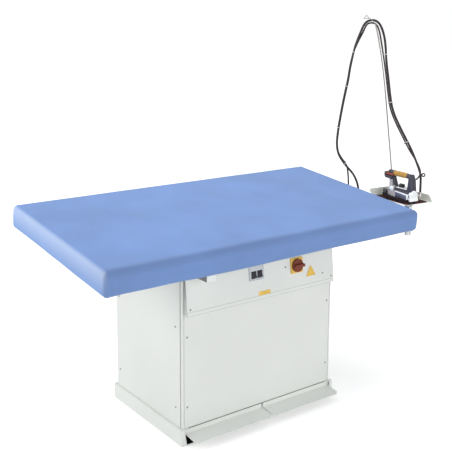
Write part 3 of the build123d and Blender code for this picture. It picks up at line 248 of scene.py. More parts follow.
def shade_by(tree, shader, pattern, dark, light, low=0.3, high=0.7):
    """The pattern takes the base colour from a dark to a light shade."""
    ramp = tree.nodes.new("ShaderNodeValToRGB")
    ramp.color_ramp.elements[0].position = low
    ramp.color_ramp.elements[0].color = paint_chart(*dark)
    ramp.color_ramp.elements[1].position = high
    ramp.color_ramp.elements[1].color = paint_chart(*light)
    tree.links.new(pattern, ramp.inputs["Fac"])
    tree.links.new(ramp.outputs["Color"], shader.inputs["Base Color"])


def spread(tree, value, low, high, at_low, at_high):
    """Takes a value from one range to another, and no further."""
    scale = tree.nodes.new("ShaderNodeMapRange")
    limits = {"From Min": low, "From Max": high, "To Min": at_low, "To Max": at_high}
    for limit, number in limits.items():
        scale.inputs[limit].default_value = number
    tree.links.new(value, scale.inputs["Value"])
    return scale.outputs["Result"]


def gloss_by(tree, shader, pattern, low, high):
    """The pattern takes the roughness from low to high."""
    tree.links.new(spread(tree, pattern, 0.3, 0.7, low, high), shader.inputs["Roughness"])


def relief(tree, shader, pattern, depth, edge=0.0):
    """Bumps of a depth in metres, over edges eased by a radius in metres."""
    bump = tree.nodes.new("ShaderNodeBump")
    bump.inputs["Strength"].default_value = 1
    bump.inputs["Distance"].default_value = depth
    tree.links.new(pattern, bump.inputs["Height"])
    if edge:
        eased = tree.nodes.new("ShaderNodeBevel")
        eased.samples = 4
        eased.inputs["Radius"].default_value = edge
        tree.links.new(eased.outputs["Normal"], bump.inputs["Normal"])
    tree.links.new(bump.outputs["Normal"], shader.inputs["Normal"])


def powder_coat(name, shade, gloss, edge=0.0012):
    """Baked powder: faint clouds in the shade and a fine orange peel."""
    finish, tree, shader = start_finish(name)
    shade_by(tree, shader, clouds(tree, 2.2, 3), lighter(shade, -0.018), lighter(shade, 0.012))
    gloss_by(tree, shader, clouds(tree, 9), gloss - 0.05, gloss + 0.06)
    relief(tree, shader, clouds(tree, 700, 1), 0.00006, edge)
    return finish


def grains(tree, scale):
    """Close packed crystals or grains, in so many per metre."""
    cells = tree.nodes.new("ShaderNodeTexVoronoi")
    cells.inputs["Scale"].default_value = scale
    tree.links.new(own_place(tree), cells.inputs["Vector"])
    return cells.outputs


def zinc_plate(name, shade=(176, 180, 184), edge=0.0006):
    """Zinc plated sheet: pale crystals that catch the light differently."""
    finish, tree, shader = start_finish(name)
    crystals = grains(tree, 160)["Color"]
    shade_by(tree, shader, crystals, lighter(shade, -0.08), lighter(shade, 0.08), 0.1, 0.9)
    gloss_by(tree, shader, crystals, 0.3, 0.46)
    relief(tree, shader, clouds(tree, 240), 0.00003, edge)
    shader.inputs["Metallic"].default_value = 0.9
    return finish


def coat(finish, *nodes):
    """Gives pieces of the frame their finish."""
    for node in nodes:
        for slot in frame["nodes"][node].material_slots:
            slot.material = finish


cabinet_paint = powder_coat("cabinet_paint", cabinet_shade, 0.42)
plated_sheet = zinc_plate("plated_sheet")
coat(cabinet_paint, "plinth_sides", "plinth_cross_strips", "corner_posts", "cross_rails")
coat(plated_sheet, "base_deck")

# Cabinet panels: sides, louvred rear, lower front and the sloping switch panel, each a folded
# and powder coated sheet that is held to the posts by plated screws with low round heads.
coat(cabinet_paint, "side_panel_left", "side_panel_right", "rear_panel")
front_paint = powder_coat("front_paint", lighter(cabinet_shade, -0.025), 0.4)
coat(front_paint, "lower_front_panel", "control_panel")
screw_zinc = zinc_plate("screw_zinc", (150, 152, 154), 0.0003)
coat(screw_zinc, "panel_screws")

# Square tube under the board's front left: the stub of a side arm's fixing, of welded steel
# tube with a closed end, sprayed with the cabinet, and with painted shade on its left side.


def worked_out(tree, operation, *values):
    """The result of a sum on values, each a number or what a node puts out."""
    step = tree.nodes.new("ShaderNodeMath")
    step.operation = operation
    for place, value in zip(step.inputs, values):
        if isinstance(value, (int, float)):
            place.default_value = value
        else:
            tree.links.new(value, place)
    return step.outputs["Value"]


def split(tree, vector):
    """A vector's X, Y and Z."""
    parts = tree.nodes.new("ShaderNodeSeparateXYZ")
    tree.links.new(vector, parts.inputs["Vector"])
    return parts.outputs


def tint(tree, shader, mask, shade):
    """Turns the base colour towards a shade where the mask says so."""
    source = shader.inputs["Base Color"].links[0].from_socket
    mix = tree.nodes.new("ShaderNodeMix")
    mix.data_type = "RGBA"
    mix.inputs[7].default_value = paint_chart(*shade)
    tree.links.new(mask, mix.inputs[0])
    tree.links.new(source, mix.inputs[6])
    tree.links.new(mix.outputs[2], shader.inputs["Base Color"])


beam_paint = powder_coat("beam_paint", cabinet_shade, 0.42)
beam_left_x = -0.3391
tree, shader = shader_of(beam_paint)
# The left side is tinted dark: painted shade, as if the light came from the right.
painted_shade_left = worked_out(tree, "LESS_THAN", split(tree, own_place(tree))["X"], beam_left_x)
tint(tree, shader, painted_shade_left, (128, 126, 130))
coat(beam_paint, "support_beam")

# Main switch: an ochre moulded plate, 66 mm square, with a red-brown turning knob on a
# steel spindle, clipped in from the front.


def moulding(name, shade, gloss, grain=0.00004, edge=0.0008):
    """Injection moulded plastic with a fine spark grain."""
    finish, tree, shader = start_finish(name)
    shade_by(tree, shader, clouds(tree, 30), lighter(shade, -0.04), lighter(shade, 0.04))
    gloss_by(tree, shader, clouds(tree, 60), gloss - 0.05, gloss + 0.07)
    relief(tree, shader, clouds(tree, 1500, 1), grain, edge)
    shader.inputs["Specular IOR Level"].default_value = 0.45
    return finish


coat(moulding("switch_plate_ochre", (224, 184, 86), 0.5), "main_switch_plate")
coat(moulding("knob_red_brown", (118, 46, 22), 0.5), "main_switch_knob")

# Rocker switches: two black rockers in one pale grey splash frame that snaps into a window of
# the panel.
coat(moulding("bezel_pale_grey", (192, 197, 202), 0.2), "rocker_bezel")
coat(moulding("rocker_black", (30, 27, 32), 0.24), "rocker_left", "rocker_right")

# Blank plates: a yellow triangle beside the main switch and a narrow yellow strip low on the
# panel, both thin vinyl on a backing, stuck on and left without print.
plate_yellow = moulding("plate_yellow", (228, 190, 86), 0.45, edge=0.0)
plate_thickness = 0.0008
post_front_y = -0.263
panel_foot_z, panel_head_z = 0.554, 0.745
panel_foot_out, panel_head_out = 0.025, 0.006
panel_lean = math.atan2(panel_foot_out - panel_head_out, panel_head_z - panel_foot_z)


def panel_point(x, z, proud):
    """A point on the sloping panel's face, standing proud of it."""
    middle_z = (panel_head_z + panel_foot_z) / 2
    middle_y = post_front_y - (panel_head_out + panel_foot_out) / 2
    y = middle_y - (middle_z - z) * math.tan(panel_lean)
    return Vector((x, y - proud * math.cos(panel_lean), z + proud * math.sin(panel_lean)))


def block(name, low, high):
    """A block between two corners."""
    bpy.ops.object.select_all(action="DESELECT")
    bpy.ops.mesh.primitive_cube_add(size=1)
    piece = bpy.context.object
    piece.name = name
    bpy.ops.object.mode_set(mode="EDIT")
    bpy.ops.mesh.select_all(action="SELECT")
    bpy.ops.transform.resize(value=[h - l for l, h in zip(low, high)])
    bpy.ops.transform.translate(value=[(h + l) / 2 for l, h in zip(low, high)])
    bpy.ops.object.mode_set(mode="OBJECT")
    return piece


def nothing_picked(mesh):
    """Leaves no point, edge or face selected."""
    for part in (mesh.polygons, mesh.edges, mesh.vertices):
        part.foreach_set("select", [False] * len(part))


def edited(kind, work, **settings):
    """Does one edit on the picked points, edges or faces."""
    bpy.ops.object.mode_set(mode="EDIT")
    bpy.ops.mesh.select_mode(type=kind)
    work(**settings)
    bpy.ops.object.mode_set(mode="OBJECT")


def round_edges(piece, wanted, radius, segments=3, corners=False):
    """Rounds the edges whose two ends are as wanted, or the corners that are."""
    nothing_picked(piece.data)
    for edge in piece.data.edges:
        ends = [piece.data.vertices[index].co for index in edge.vertices]
        edge.select = not corners and wanted(*ends)
    for vertex in piece.data.vertices:
        vertex.select = corners and wanted(vertex.co, vertex.co)
    bpy.context.view_layer.objects.active = piece
    edited("VERT" if corners else "EDGE", bpy.ops.mesh.bevel, offset=radius, offset_type="OFFSET",
           segments=segments, profile=0.5, affect="VERTICES" if corners else "EDGES")


def every_edge(a, b):
    """Picks all edges."""
    return True


def done(piece, finish, kind, body="base", instead_of=None):
    """Shades a piece, gives it its finish and joins it to its body."""
    bpy.ops.object.select_all(action="DESELECT")
    piece.select_set(True)
    bpy.context.view_layer.objects.active = piece
    bpy.ops.object.shade_smooth_by_angle(angle=math.radians(40))
    piece.select_set(False)
    if finish:
        piece.data.materials.clear()
        piece.data.materials.append(finish)
    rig.ride(piece, body)
    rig.slot(piece, kind)
    if instead_of:
        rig.replaces(piece, instead_of)


def stuck_on(piece, x, z):
    """Turns a plate that was drawn flat on the floor up onto the panel."""
    upright = Matrix.Rotation(math.pi / 2 - panel_lean, 4, "X")
    piece.data.transform(Matrix.Translation(panel_point(x, z, plate_thickness / 2)) @ upright)
    done(piece, plate_yellow, "plate_plastic")


bpy.ops.mesh.primitive_cylinder_add(vertices=3, radius=0.0305, depth=plate_thickness)
triangle = bpy.context.object
triangle.name = "blank_triangle"
round_edges(triangle, lambda a, b: abs(a.z - b.z) > 0.0005, 0.0026)
stuck_on(triangle, 0.2545, 0.6080)

strip = block("blank_strip", (-0.031, -0.00825, -plate_thickness / 2),
              (0.031, 0.00825, plate_thickness / 2))
round_edges(strip, every_edge, 0.0003, 2)
stuck_on(strip, -0.002, 0.5678)

# Edges of the control panel: a thin grey strip on its folded-back left end carries painted shade,
# darkest near the board, and the skin runs down past the bottom fold as a drip lip over the lower panel.
panel_side_x = 0.3874


def below(height):
    """Picks edges that lie wholly below a height."""
    return lambda a, b: a.z < height and b.z < height


def shift(piece, wanted, by):
    """Moves the points that are wanted."""
    for vertex in piece.data.vertices:
        if wanted(vertex.co):
            vertex.co += Vector(by)


cheek = block("cheek_strip", (-panel_side_x - 0.001, -0.2690, 0.5490),
              (-panel_side_x, post_front_y, panel_head_z))
shift(cheek, lambda spot: spot.z < 0.6 and spot.y < -0.265, (0, -0.0185, 0))
round_edges(cheek, every_edge, 0.0003, 2)
cheek_shade_paint = moulding("cheek_strip_painted_shade", (206, 209, 204), 0.7)
tree, shader = shader_of(cheek_shade_paint)
# The strip's top is tinted dark: painted shade cast by the board above.
shaded_top = spread(tree, split(tree, own_place(tree))["Z"], 0.56, 0.735, 0, 1)
tint(tree, shader, shaded_top, (112, 106, 112))
done(cheek, cheek_shade_paint, "dark_plastic")

drip_lip = block("drip_lip", (-panel_side_x, -0.2877, 0.5435), (panel_side_x, -0.2860, 0.5585))
shift(drip_lip, lambda spot: spot.z < 0.55, (0, -0.0015, 0))
round_edges(drip_lip, below(0.55), 0.0003, 2)
# The lip's paint is a darker copy of the cabinet paint, painted shade that matches its tone to the panel above, and
# its bottom edge is tinted darker as a painted shadow line.
lip_paint = powder_coat("lip_paint", lighter(cabinet_shade, -0.02), 0.42)
tree, shader = shader_of(lip_paint)
painted_shadow_line = spread(tree, split(tree, own_place(tree))["Z"], 0.5452, 0.5448, 0, 1)
tint(tree, shader, painted_shadow_line, (176, 178, 176))
done(drip_lip, lip_paint, "cabinet_paint")

# Front lip of the base deck, which shows as a pale line under the lower panel, and the two square
# plates that close the deck's front corners beside the pedals. Folded and painted with the deck.
deck_front_y, lip_side_x = -0.2620, 0.3800
deck_lip = block("deck_lip", (-lip_side_x, deck_front_y, 0.0668), (lip_side_x, -0.2568, 0.0712))
round_edges(deck_lip, every_edge, 0.0008, 2)
done(deck_lip, cabinet_paint, "cabinet_paint")
for side, low_x, high_x, front_y in (("left", -0.3950, -lip_side_x, deck_front_y),
                                     ("right", 0.3864, 0.4000, -0.2668)):
    corner_plate = block("corner_plate_" + side, (low_x, front_y, 0.0400),
                         (high_x, -0.2590, 0.0710))
    round_edges(corner_plate, every_edge, 0.0006, 2)
    done(corner_plate, cabinet_paint, "cabinet_paint")

# Pedals: two bent tread plates with an upright flange, sprayed like the cabinet, on a bright
# steel shaft in plated hangers. Each is brought back by a coil spring and trips a small switch.
pedal_paint = powder_coat("pedal_paint", (226, 229, 225), 0.45)
coat(pedal_paint, "pedal_left", "pedal_right")


def bright_steel(name, shade=(168, 170, 172), gloss=0.28, along=(1, 1, 1), edge=0.0004):
    """Drawn or turned steel with fine marks along it."""
    finish, tree, shader = start_finish(name)
    shade_by(tree, shader, clouds(tree, 12), lighter(shade, -0.06), lighter(shade, 0.06))
    marks = clouds(tree, 900, 2, along)
    gloss_by(tree, shader, marks, gloss - 0.06, gloss + 0.08)
    relief(tree, shader, marks, 0.00002, edge)
    shader.inputs["Metallic"].default_value = 1
    return finish


coat(bright_steel("drawn_shaft_steel", along=(0.02, 1, 1)), "pedal_shaft", "pedal_springs")
coat(plated_sheet, "pedal_hangers")
switch_black = moulding("switch_black", (34, 34, 38), 0.4)
coat(switch_black, "pedal_switches")

# Fan: a standing motor in dark grey enamel, its shaft, a cast impeller with nine curved
# blades in a spun and folded housing, and the duct that brings the air down from the board.
motor_enamel = powder_coat("motor_enamel", (66, 72, 80), 0.32)
coat(motor_enamel, "fan_motor", "feed_pump")
coat(bright_steel("turned_shaft_steel", along=(1, 1, 0.05)), "fan_shaft")
coat(zinc_plate("impeller_casting", (170, 172, 176), 0.0008), "fan_impeller")
coat(plated_sheet, "fan_housing", "suction_duct")

# Steam plant: a welded steel boiler in its cradle, brass valves, a natural white water tank,
# and the box of contactors on the front rail.
coat(bright_steel("boiler_steel", (150, 150, 150), 0.36), "boiler")
coat(plated_sheet, "boiler_cradle")
coat(bright_steel("valve_brass", (196, 158, 88), 0.26), "boiler_valves")
coat(moulding("tank_white", (226, 226, 216), 0.46), "water_tank")
coat(moulding("box_grey", (206, 210, 206), 0.44), "contactor_box")

# Board: a folded zinc pan on two rails, a serpentine heater on its floor, and a perforated
# sheet that carries the padding and lets the air through.
coat(plated_sheet, "pan_rails", "vacuum_pan", "perforated_sheet")
coat(bright_steel("heater_steel", (92, 88, 84), 0.5), "heating_element")

# Padding: felt over open foam, cut with round corners, that lies loose on the perforated
# sheet under the cover.
hair = 0.00001
board_slope = math.radians(6.3)
board_height = 0.874
on_board = Matrix.Translation((0, 0, board_height)) @ Matrix.Rotation(board_slope, 4, "X")


def upright_edge(a, b):
    """Picks edges that stand upright."""
    return abs(a.z - b.z) > 0.001 and (a.xy - b.xy).length < hair / 10


def above(height):
    """Picks edges that lie wholly above a height."""
    return lambda a, b: a.z > height and b.z > height


def cut_across(piece, places, axis):
    """Cuts rings of edges through the piece."""
    bpy.ops.object.mode_set(mode="EDIT")
    for place in places:
        bpy.ops.mesh.select_all(action="SELECT")
        middle = [place if index == axis else 0 for index in range(3)]
        normal = [1 if index == axis else 0 for index in range(3)]
        bpy.ops.mesh.bisect(plane_co=middle, plane_no=normal)
    bpy.ops.object.mode_set(mode="OBJECT")


def spaced(reach, count):
    """Even places between minus and plus a reach, without its ends."""
    return [reach * (2 * step / count - 1) for step in range(1, count)]


foam_length, foam_width = 1.588, 0.803
foam_top, foam_bottom = -0.0056, -0.0226
foam = block("board_foam", (-foam_length / 2, -foam_width / 2, foam_bottom),
             (foam_length / 2, foam_width / 2, foam_top))
round_edges(foam, upright_edge, 0.026, 6)
round_edges(foam, above(foam_top - hair), 0.0155, 5)
cut_across(foam, spaced(0.77, 12), 0)
cut_across(foam, spaced(0.37, 8), 1)
foam_crown = 0.002
for vertex in foam.data.vertices:
    if vertex.co.z > foam_bottom + 0.004:
        vertex.co.z -= foam_crown * (vertex.co.y / (foam_width / 2)) ** 2
foam.data.transform(on_board)
felt, tree, shader = start_finish("padding_felt")
fibres = clouds(tree, 420, 4)
shade_by(tree, shader, fibres, (214, 208, 190), (236, 230, 214))
gloss_by(tree, shader, fibres, 0.86, 0.96)
relief(tree, shader, fibres, 0.0004)
shader.inputs["Sheen Weight"].default_value = 0.3
foam.data.materials.append(felt)
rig.ride(foam, "base")
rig.replaces(foam, "board_padding")
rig.slot(foam, "padding")
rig.padded(foam, fill=1)

# Cover: blue cotton and polyester cloth, sewn at the four corners like a fitted sheet, drawn
# over the edge and under it, and held by a cord in its hem. The pad swells it slightly, and
# the hem pulls small gathers at the corners.
cover_length, cover_width, cover_depth = 1.600, 0.815, 0.096
cover_plan_r, cover_top_r, cover_hem_r = 0.018, 0.020, 0.018
hem_width = 0.045
cover_blue = (120, 154, 214)
cover = block("fitted_cover", (-cover_length / 2, -cover_width / 2, -cover_depth),
              (cover_length / 2, cover_width / 2, 0))
round_edges(cover, upright_edge, cover_plan_r, 8)
round_edges(cover, above(-hair), cover_top_r, 6)
round_edges(cover, below(-cover_depth + hair), cover_hem_r, 5)
cut_across(cover, spaced(0.77, 44), 0)
cut_across(cover, spaced(0.3775, 22), 1)
cut_across(cover, (-0.036, -0.048, -0.060, -0.070), 2)
opening_x, opening_y = cover_length / 2 - hem_width, cover_width / 2 - hem_width
cut_across(cover, (-opening_x, opening_x), 0)
cut_across(cover, (-opening_y, opening_y), 1)
nothing_picked(cover.data)
for face in cover.data.polygons:
    middle = face.center
    under = middle.z < -cover_depth + hair
    face.select = under and abs(middle.x) < opening_x and abs(middle.y) < opening_y
edited("FACE", bpy.ops.mesh.delete, type="FACE")


def worked_in(piece, kind, **settings):
    """Gives a piece a modifier with its settings, and applies it."""
    change = piece.modifiers.new(kind, kind)
    for setting, value in settings.items():
        setattr(change, setting, value)
    bpy.ops.object.modifier_apply(modifier=change.name)


worked_in(cover, "SUBSURF", levels=1, render_levels=1)
hem_low, hem_sag, corner_sag, hem_wave = 0.0030, 0.0045, 0.0030, 0.0022
crown_across, crown_along, ripple_height = 0.0014, 0.0004, 0.0009
pull_reach, belly_reach, gather_reach = 0.0018, 0.0020, 0.0014


def eased(value, low, high):
    """Runs smoothly from 0 at low to 1 at high."""
    share = max(0.0, min(1.0, (value - low) / (high - low)))
    return share * share * (3 - 2 * share)


def hem_drop(x, y):
    """How much lower the hem hangs than a taut one: most left of the middle, in long waves."""
    sag = eased(-x, -0.3, 0.3) * (1 - eased(-x, 0.35, 0.55))
    wave = noise.noise(Vector((x * 4.2 + 2, y * 5.5, 0.3)))
    return hem_low + hem_sag * sag + corner_sag * eased(-x, 0.72, 0.8) + hem_wave * wave


def lie_of_cloth(x, y, z):
    """How far the cloth lies outside its taut shape, and how far below it."""
    across = y / (cover_width / 2)
    along = x / (cover_length / 2)
    low = eased(-z, 0.02, cover_depth)
    crown = crown_across * across ** 2 + crown_along * along ** 2
    ripple = ripple_height * noise.noise(Vector((x * 5, y * 5, 0)))
    corner = eased(abs(across) + abs(along), 1.84, 1.97)
    pull = pull_reach * noise.noise(Vector((x * 7, y * 7, z * 9 + 3)))
    belly = belly_reach * math.sin(math.pi * min(1.0, -z / cover_depth))
    gather = gather_reach * corner * math.sin(190 * (x - y)) * low
    return pull + belly + gather, crown - ripple * (1 - low) + low * hem_drop(x, y)


for vertex in cover.data.vertices:
    x, y, z = vertex.co
    outside, lower = lie_of_cloth(x, y, z)
    lean_x = eased(abs(x), cover_length / 2 - cover_plan_r, cover_length / 2) * math.copysign(1, x)
    lean_y = eased(abs(y), cover_width / 2 - cover_plan_r, cover_width / 2) * math.copysign(1, y)
    edge = max(abs(lean_x), abs(lean_y))
    vertex.co += Vector((lean_x, lean_y, 0)) * outside * eased(-z, 0.0, 0.02) * edge
    vertex.co.z -= lower
cover.data.transform(on_board)
worked_in(cover, "SOLIDIFY", thickness=0.0024, offset=-1)
bpy.ops.object.shade_smooth()
cloth, tree, shader = start_finish("cover_cloth")
lie = tree.nodes.new("ShaderNodeMapping")
lie.inputs["Rotation"].default_value = (-board_slope, 0, 0)
tree.links.new(own_place(tree), lie.inputs["Vector"])
threads = []
for direction in ("X", "Y"):
    thread = tree.nodes.new("ShaderNodeTexWave")
    thread.bands_direction = direction
    thread.inputs["Scale"].default_value = 150
    thread.inputs["Distortion"].default_value = 1.2
    thread.inputs["Detail"].default_value = 1
    thread.inputs["Detail Scale"].default_value = 2
    tree.links.new(lie.outputs["Vector"], thread.inputs["Vector"])
    threads.append(thread.outputs["Fac"])


def times(tree, first, *others):
    """Values multiplied together."""
    for other in others:
        first = worked_out(tree, "MULTIPLY", first, other)
    return first


weave = times(tree, *threads)
wear = clouds(tree, 3.5, 5)
mixed = worked_out(tree, "MULTIPLY_ADD", weave, 0.22, wear)
shade_by(tree, shader, mixed, lighter(cover_blue, -0.05), lighter(cover_blue, 0.05), 0.35, 0.8)
gloss_by(tree, shader, wear, 0.74, 0.84)
relief(tree, shader, weave, 0.00018)

# Light and shade are painted into the cloth: a painted shadow along the front edge, painted shade
# down the front and a painted highlight on the left end. Places are given from the board's middle,
# in the cloth's own slope.
board_back = board_height * math.sin(board_slope)
board_top = board_height * math.cos(board_slope)
sides = split(tree, lie.outputs["Vector"])
flat = tree.nodes.new("ShaderNodeCombineXYZ")
tree.links.new(sides["Y"], flat.inputs["Y"])
tree.links.new(sides["Z"], flat.inputs["Z"])
front_edge = tree.nodes.new("ShaderNodeVectorMath")
front_edge.operation = "DISTANCE"
front_edge.inputs[1].default_value = (0, board_back - 0.396, board_top - 0.008)
tree.links.new(flat.outputs["Vector"], front_edge.inputs[0])
# A painted shadow of the fold along the top's front edge, broken up by soft noise.
front_edge_shadow = times(tree, spread(tree, front_edge.outputs["Value"], 0.006, 0.030, 0.75, 0),
               spread(tree, clouds(tree, 2.5), 0.35, 0.6, 0.5, 1))
# A painted highlight on the left end, palest towards its top.
left_end_highlight = times(tree, spread(tree, sides["X"], -0.786, -0.798, 0, 1),
              spread(tree, sides["Z"], board_top - 0.085, board_top - 0.01, 0.03, 0.40))
shaded = spread(tree, sides["Y"], board_back - 0.390, board_back - 0.400, 0, 0.5)
tint(tree, shader, front_edge_shadow, lighter(cover_blue, -0.2))
tint(tree, shader, left_end_highlight, (224, 236, 250))
tint(tree, shader, shaded, lighter(cover_blue, -0.22))
shader.inputs["Sheen Weight"].default_value = 0.3
shader.inputs["Sheen Roughness"].default_value = 0.4
shader.inputs["Sheen Tint"].default_value = paint_chart(205, 222, 248)
cover.data.materials.append(cloth)
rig.ride(cover, "base")
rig.replaces(cover, "table_cover")
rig.slot(cover, "cover_fabric")
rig.sheet(cover, flat=(1.093, 1.878), area=1.975, held="stretched", rests_on=["board_foam"])
bpy.ops.object.select_all(action="DESELECT")

# Iron rest: a plated arm bolted under the board, a chromed post in its clamp hub, and a bar
# that carries the folded tray and the socket of the hose pole.


def chrome(name, shade=(214, 217, 220), gloss=0.12):
    """Bright chrome plate with faint hand marks."""
    finish, tree, shader = start_finish(name)
    marks = clouds(tree, 24, 3)
    shade_by(tree, shader, marks, lighter(shade, -0.05), lighter(shade, 0.03))
    gloss_by(tree, shader, marks, gloss - 0.04, gloss + 0.06)
    relief(tree, shader, clouds(tree, 300), 0.00001, 0.0004)
    shader.inputs["Metallic"].default_value = 1
    return finish


post_chrome = chrome("post_chrome")
coat(plated_sheet, "rest_arm", "rest_carrier")
coat(post_chrome, "rest_post")
coat(moulding("pole_satin", (150, 148, 140), 0.5), "hose_pole")
mat_middle, rest_turn = (0.885, -0.2, 0.839), math.radians(-5.5)
on_rest = Matrix.Translation(mat_middle) @ Matrix.Rotation(rest_turn, 4, "Z")

# Tray of the rest: one folded sheet with a high flange at its far end and a lower one, with
# rounded corners, on its right. It is sprayed grey green, and open on its other two sides.
bpy.ops.mesh.primitive_plane_add(size=1)
tray = bpy.context.object
tray.name = "rest_tray_sheet"
bpy.ops.object.mode_set(mode="EDIT")
bpy.ops.mesh.select_all(action="SELECT")
bpy.ops.transform.resize(value=(0.138, 0.236, 1))
bpy.ops.transform.translate(value=(0.007, -0.010, -0.0050))
bpy.ops.object.mode_set(mode="OBJECT")


def flange(piece, wanted, out, ends):
    """Draws the wanted edge out into a flange and brings its new ends to two places."""
    nothing_picked(piece.data)
    for edge in piece.data.edges:
        edge.select = wanted(*[piece.data.vertices[index].co for index in edge.vertices])
    bpy.context.view_layer.objects.active = piece
    edited("EDGE", bpy.ops.mesh.extrude_edges_move, TRANSFORM_OT_translate={"value": out})
    for vertex in piece.data.vertices:
        if vertex.select:
            vertex.co += Vector(min(ends, key=lambda end: (Vector(end[0]) - vertex.co).length)[1])


shift(tray, lambda spot: spot.x > 0.07 and spot.y < 0, (0.021, -0.001, 0))
flange(tray, lambda a, b: a.x > 0.075 and b.x > 0.075, (0.014, 0, 0.030),
       [((0.090, 0.108, 0.025), (0.002, 0.002, 0)), ((0.111, -0.129, 0.025), (-0.012, 0.024, 0))])
flange(tray, lambda a, b: a.y > 0.107 and b.y > 0.107 and a.z < 0 and b.z < 0, (0, 0.016, 0.036),
       [((-0.062, 0.124, 0.031), (-0.018, 0, 0)), ((0.076, 0.124, 0.031), (-0.014, 0, 0))])
round_edges(tray, lambda a, b: a.z > 0.01, 0.013, 4, corners=True)
worked_in(tray, "SOLIDIFY", thickness=0.002, offset=0)
round_edges(tray, every_edge, 0.0006, 2)
tray.data.transform(on_rest)
tray_paint = powder_coat("tray_grey_green", (214, 217, 208), 0.4)
done(tray, tray_paint, "zinc_steel", instead_of="rest_tray")

# Mat on the tray: black silicone, scorched red-brown in spots, that lies loose on the sheet.
mat = block("rest_mat_sheet", (-0.058, -0.125, -0.0036), (0.070, 0.106, -0.0004))
round_edges(mat, upright_edge, 0.012, 5)
round_edges(mat, above(-0.0006), 0.001, 2)
mat.data.transform(on_rest)
mat_black, tree, shader = start_finish("mat_black")
scorch = clouds(tree, 85, 3)
shade_by(tree, shader, scorch, (34, 26, 30), (142, 62, 36), 0.56, 0.64)
gloss_by(tree, shader, scorch, 0.75, 0.9)
relief(tree, shader, clouds(tree, 420, 2), 0.0003)
shader.inputs["Specular IOR Level"].default_value = 0.15
done(mat, mat_black, "mat_silicone", instead_of="rest_mat")

# Iron: a dark anodised sole under a cast and polished aluminium body. The casting carries a
# valve column near its nose, a round steam boss across it and a domed heel that it stands on.
sole_dark = moulding("sole_dark", (40, 32, 36), 0.75, edge=0.0006)
shader_of(sole_dark)[1].inputs["Specular IOR Level"].default_value = 0.12
coat(sole_dark, "iron_sole")
# The casting comes in lit and shaded copies: a pale copy is a painted highlight on tops, bevels and small parts, and a
# dark, slightly blue copy is painted shade and a painted reflection of the blue board on the upright sides.
casting_lit_copy = bright_steel("body_painted_highlight", (236, 240, 248), 0.42)
cast_sand = bright_steel("body_sand_cast", (176, 170, 172), 0.6)
shader_of(casting_lit_copy)[1].inputs["Metallic"].default_value = 0.35
shader_of(cast_sand)[1].inputs["Metallic"].default_value = 0.4


def round_bar(name, middle, radius, length, axis, sides=32):
    """A turned bar about a middle, along X, Y or Z."""
    bpy.ops.object.select_all(action="DESELECT")
    turn = {"X": Matrix.Rotation(math.pi / 2, 4, "Y"), "Y": Matrix.Rotation(math.pi / 2, 4, "X"),
            "Z": Matrix.Identity(4)}[axis]
    bpy.ops.mesh.primitive_cylinder_add(vertices=sides, radius=radius, depth=length)
    piece = bpy.context.object
    piece.name = name
    piece.data.transform(Matrix.Translation(middle) @ turn)
    return piece


def rim(axis, reach, middle=0):
    """Picks edges that lie past a reach on one side of the middle."""
    def wanted(a, b):
        low, high = sorted((a[axis] - middle, b[axis] - middle))
        return low > reach or high < -reach
    return wanted


def joined(name, pieces):
    """Several shapes as one piece."""
    bpy.ops.object.select_all(action="DESELECT")
    for piece in pieces:
        piece.select_set(True)
    bpy.context.view_layer.objects.active = pieces[0]
    bpy.ops.object.join()
    pieces[0].name = name
    return pieces[0]


def pull_in(piece, wanted, by):
    """Brings the wanted points nearer to the middle line."""
    for vertex in piece.data.vertices:
        if wanted(vertex.co):
            vertex.co.x -= math.copysign(by, vertex.co.x)


def finished_in(finish, *pieces):
    """Gives shapes that will be joined their finish."""
    for piece in pieces:
        piece.data.materials.append(finish)


shell = block("shell", (-0.035, -0.094, 0.0040), (0.035, -0.006, 0.0400))
pull_in(shell, lambda spot: spot.y > -0.01, 0.003)
shift(shell, lambda spot: spot.y > -0.01 and spot.z > 0.03, (0, 0, 0.0015))
shift(shell, lambda spot: spot.y < -0.09 and spot.z > 0.03, (0, 0, -0.0035))
round_edges(shell, upright_edge, 0.006, 4)
round_edges(shell, above(0.03), 0.0040, 3)
finished_in(bright_steel("body_painted_shade", (112, 112, 124), 0.34), shell)
finished_in(casting_lit_copy, shell)
# Tops and bevels take the painted highlight, upright sides the painted shade.
for face in shell.data.polygons:
    slanted = max(abs(part) for part in face.normal) < 0.985
    face.material_index = 1 if slanted or face.normal.z > 0.9 else 0
nose = block("nose", (-0.033, -0.006, 0.0125), (0.033, 0.064, 0.0400))
cut_across(nose, (0.030,), 1)
pull_in(nose, lambda spot: spot.y > 0.06, 0.019)
pull_in(nose, lambda spot: 0.02 < spot.y < 0.04, 0.007)
round_edges(nose, upright_edge, 0.005, 4)
round_edges(nose, above(0.039), 0.0035, 4)
column = block("column", (-0.011, 0.033, 0.030), (0.011, 0.055, 0.087))
round_edges(column, upright_edge, 0.003, 4)
finished_in(cast_sand, nose, column)
boss = round_bar("boss", (0, 0.0205, 0.0455), 0.0132, 0.060, "X")
round_edges(boss, rim(0, 0.029), 0.0030, 4)
heel = block("heel", (-0.0235, -0.1055, 0.004), (0.0235, -0.0930, 0.0540))
round_edges(heel, lambda a, b: above(0.053)(a, b) and abs(a.y - b.y) > 0.01, 0.0230, 12)
round_edges(heel, lambda a, b: above(0.03)(a, b) and max(a.y, b.y) < -0.105, 0.003, 3)
foot = block("foot", (-0.0265, -0.1095, 0.003), (0.0265, -0.0930, 0.0200))
shift(foot, lambda spot: spot.z > 0.01 and spot.y < -0.1, (0, 0.0045, 0))
round_edges(foot, every_edge, 0.0020, 3)
rail = block("rail", (-0.0215, -0.073, 0.0552), (0.0215, -0.002, 0.0576))
round_edges(rail, upright_edge, 0.004, 3)
round_edges(rail, above(0.057), 0.0008, 2)
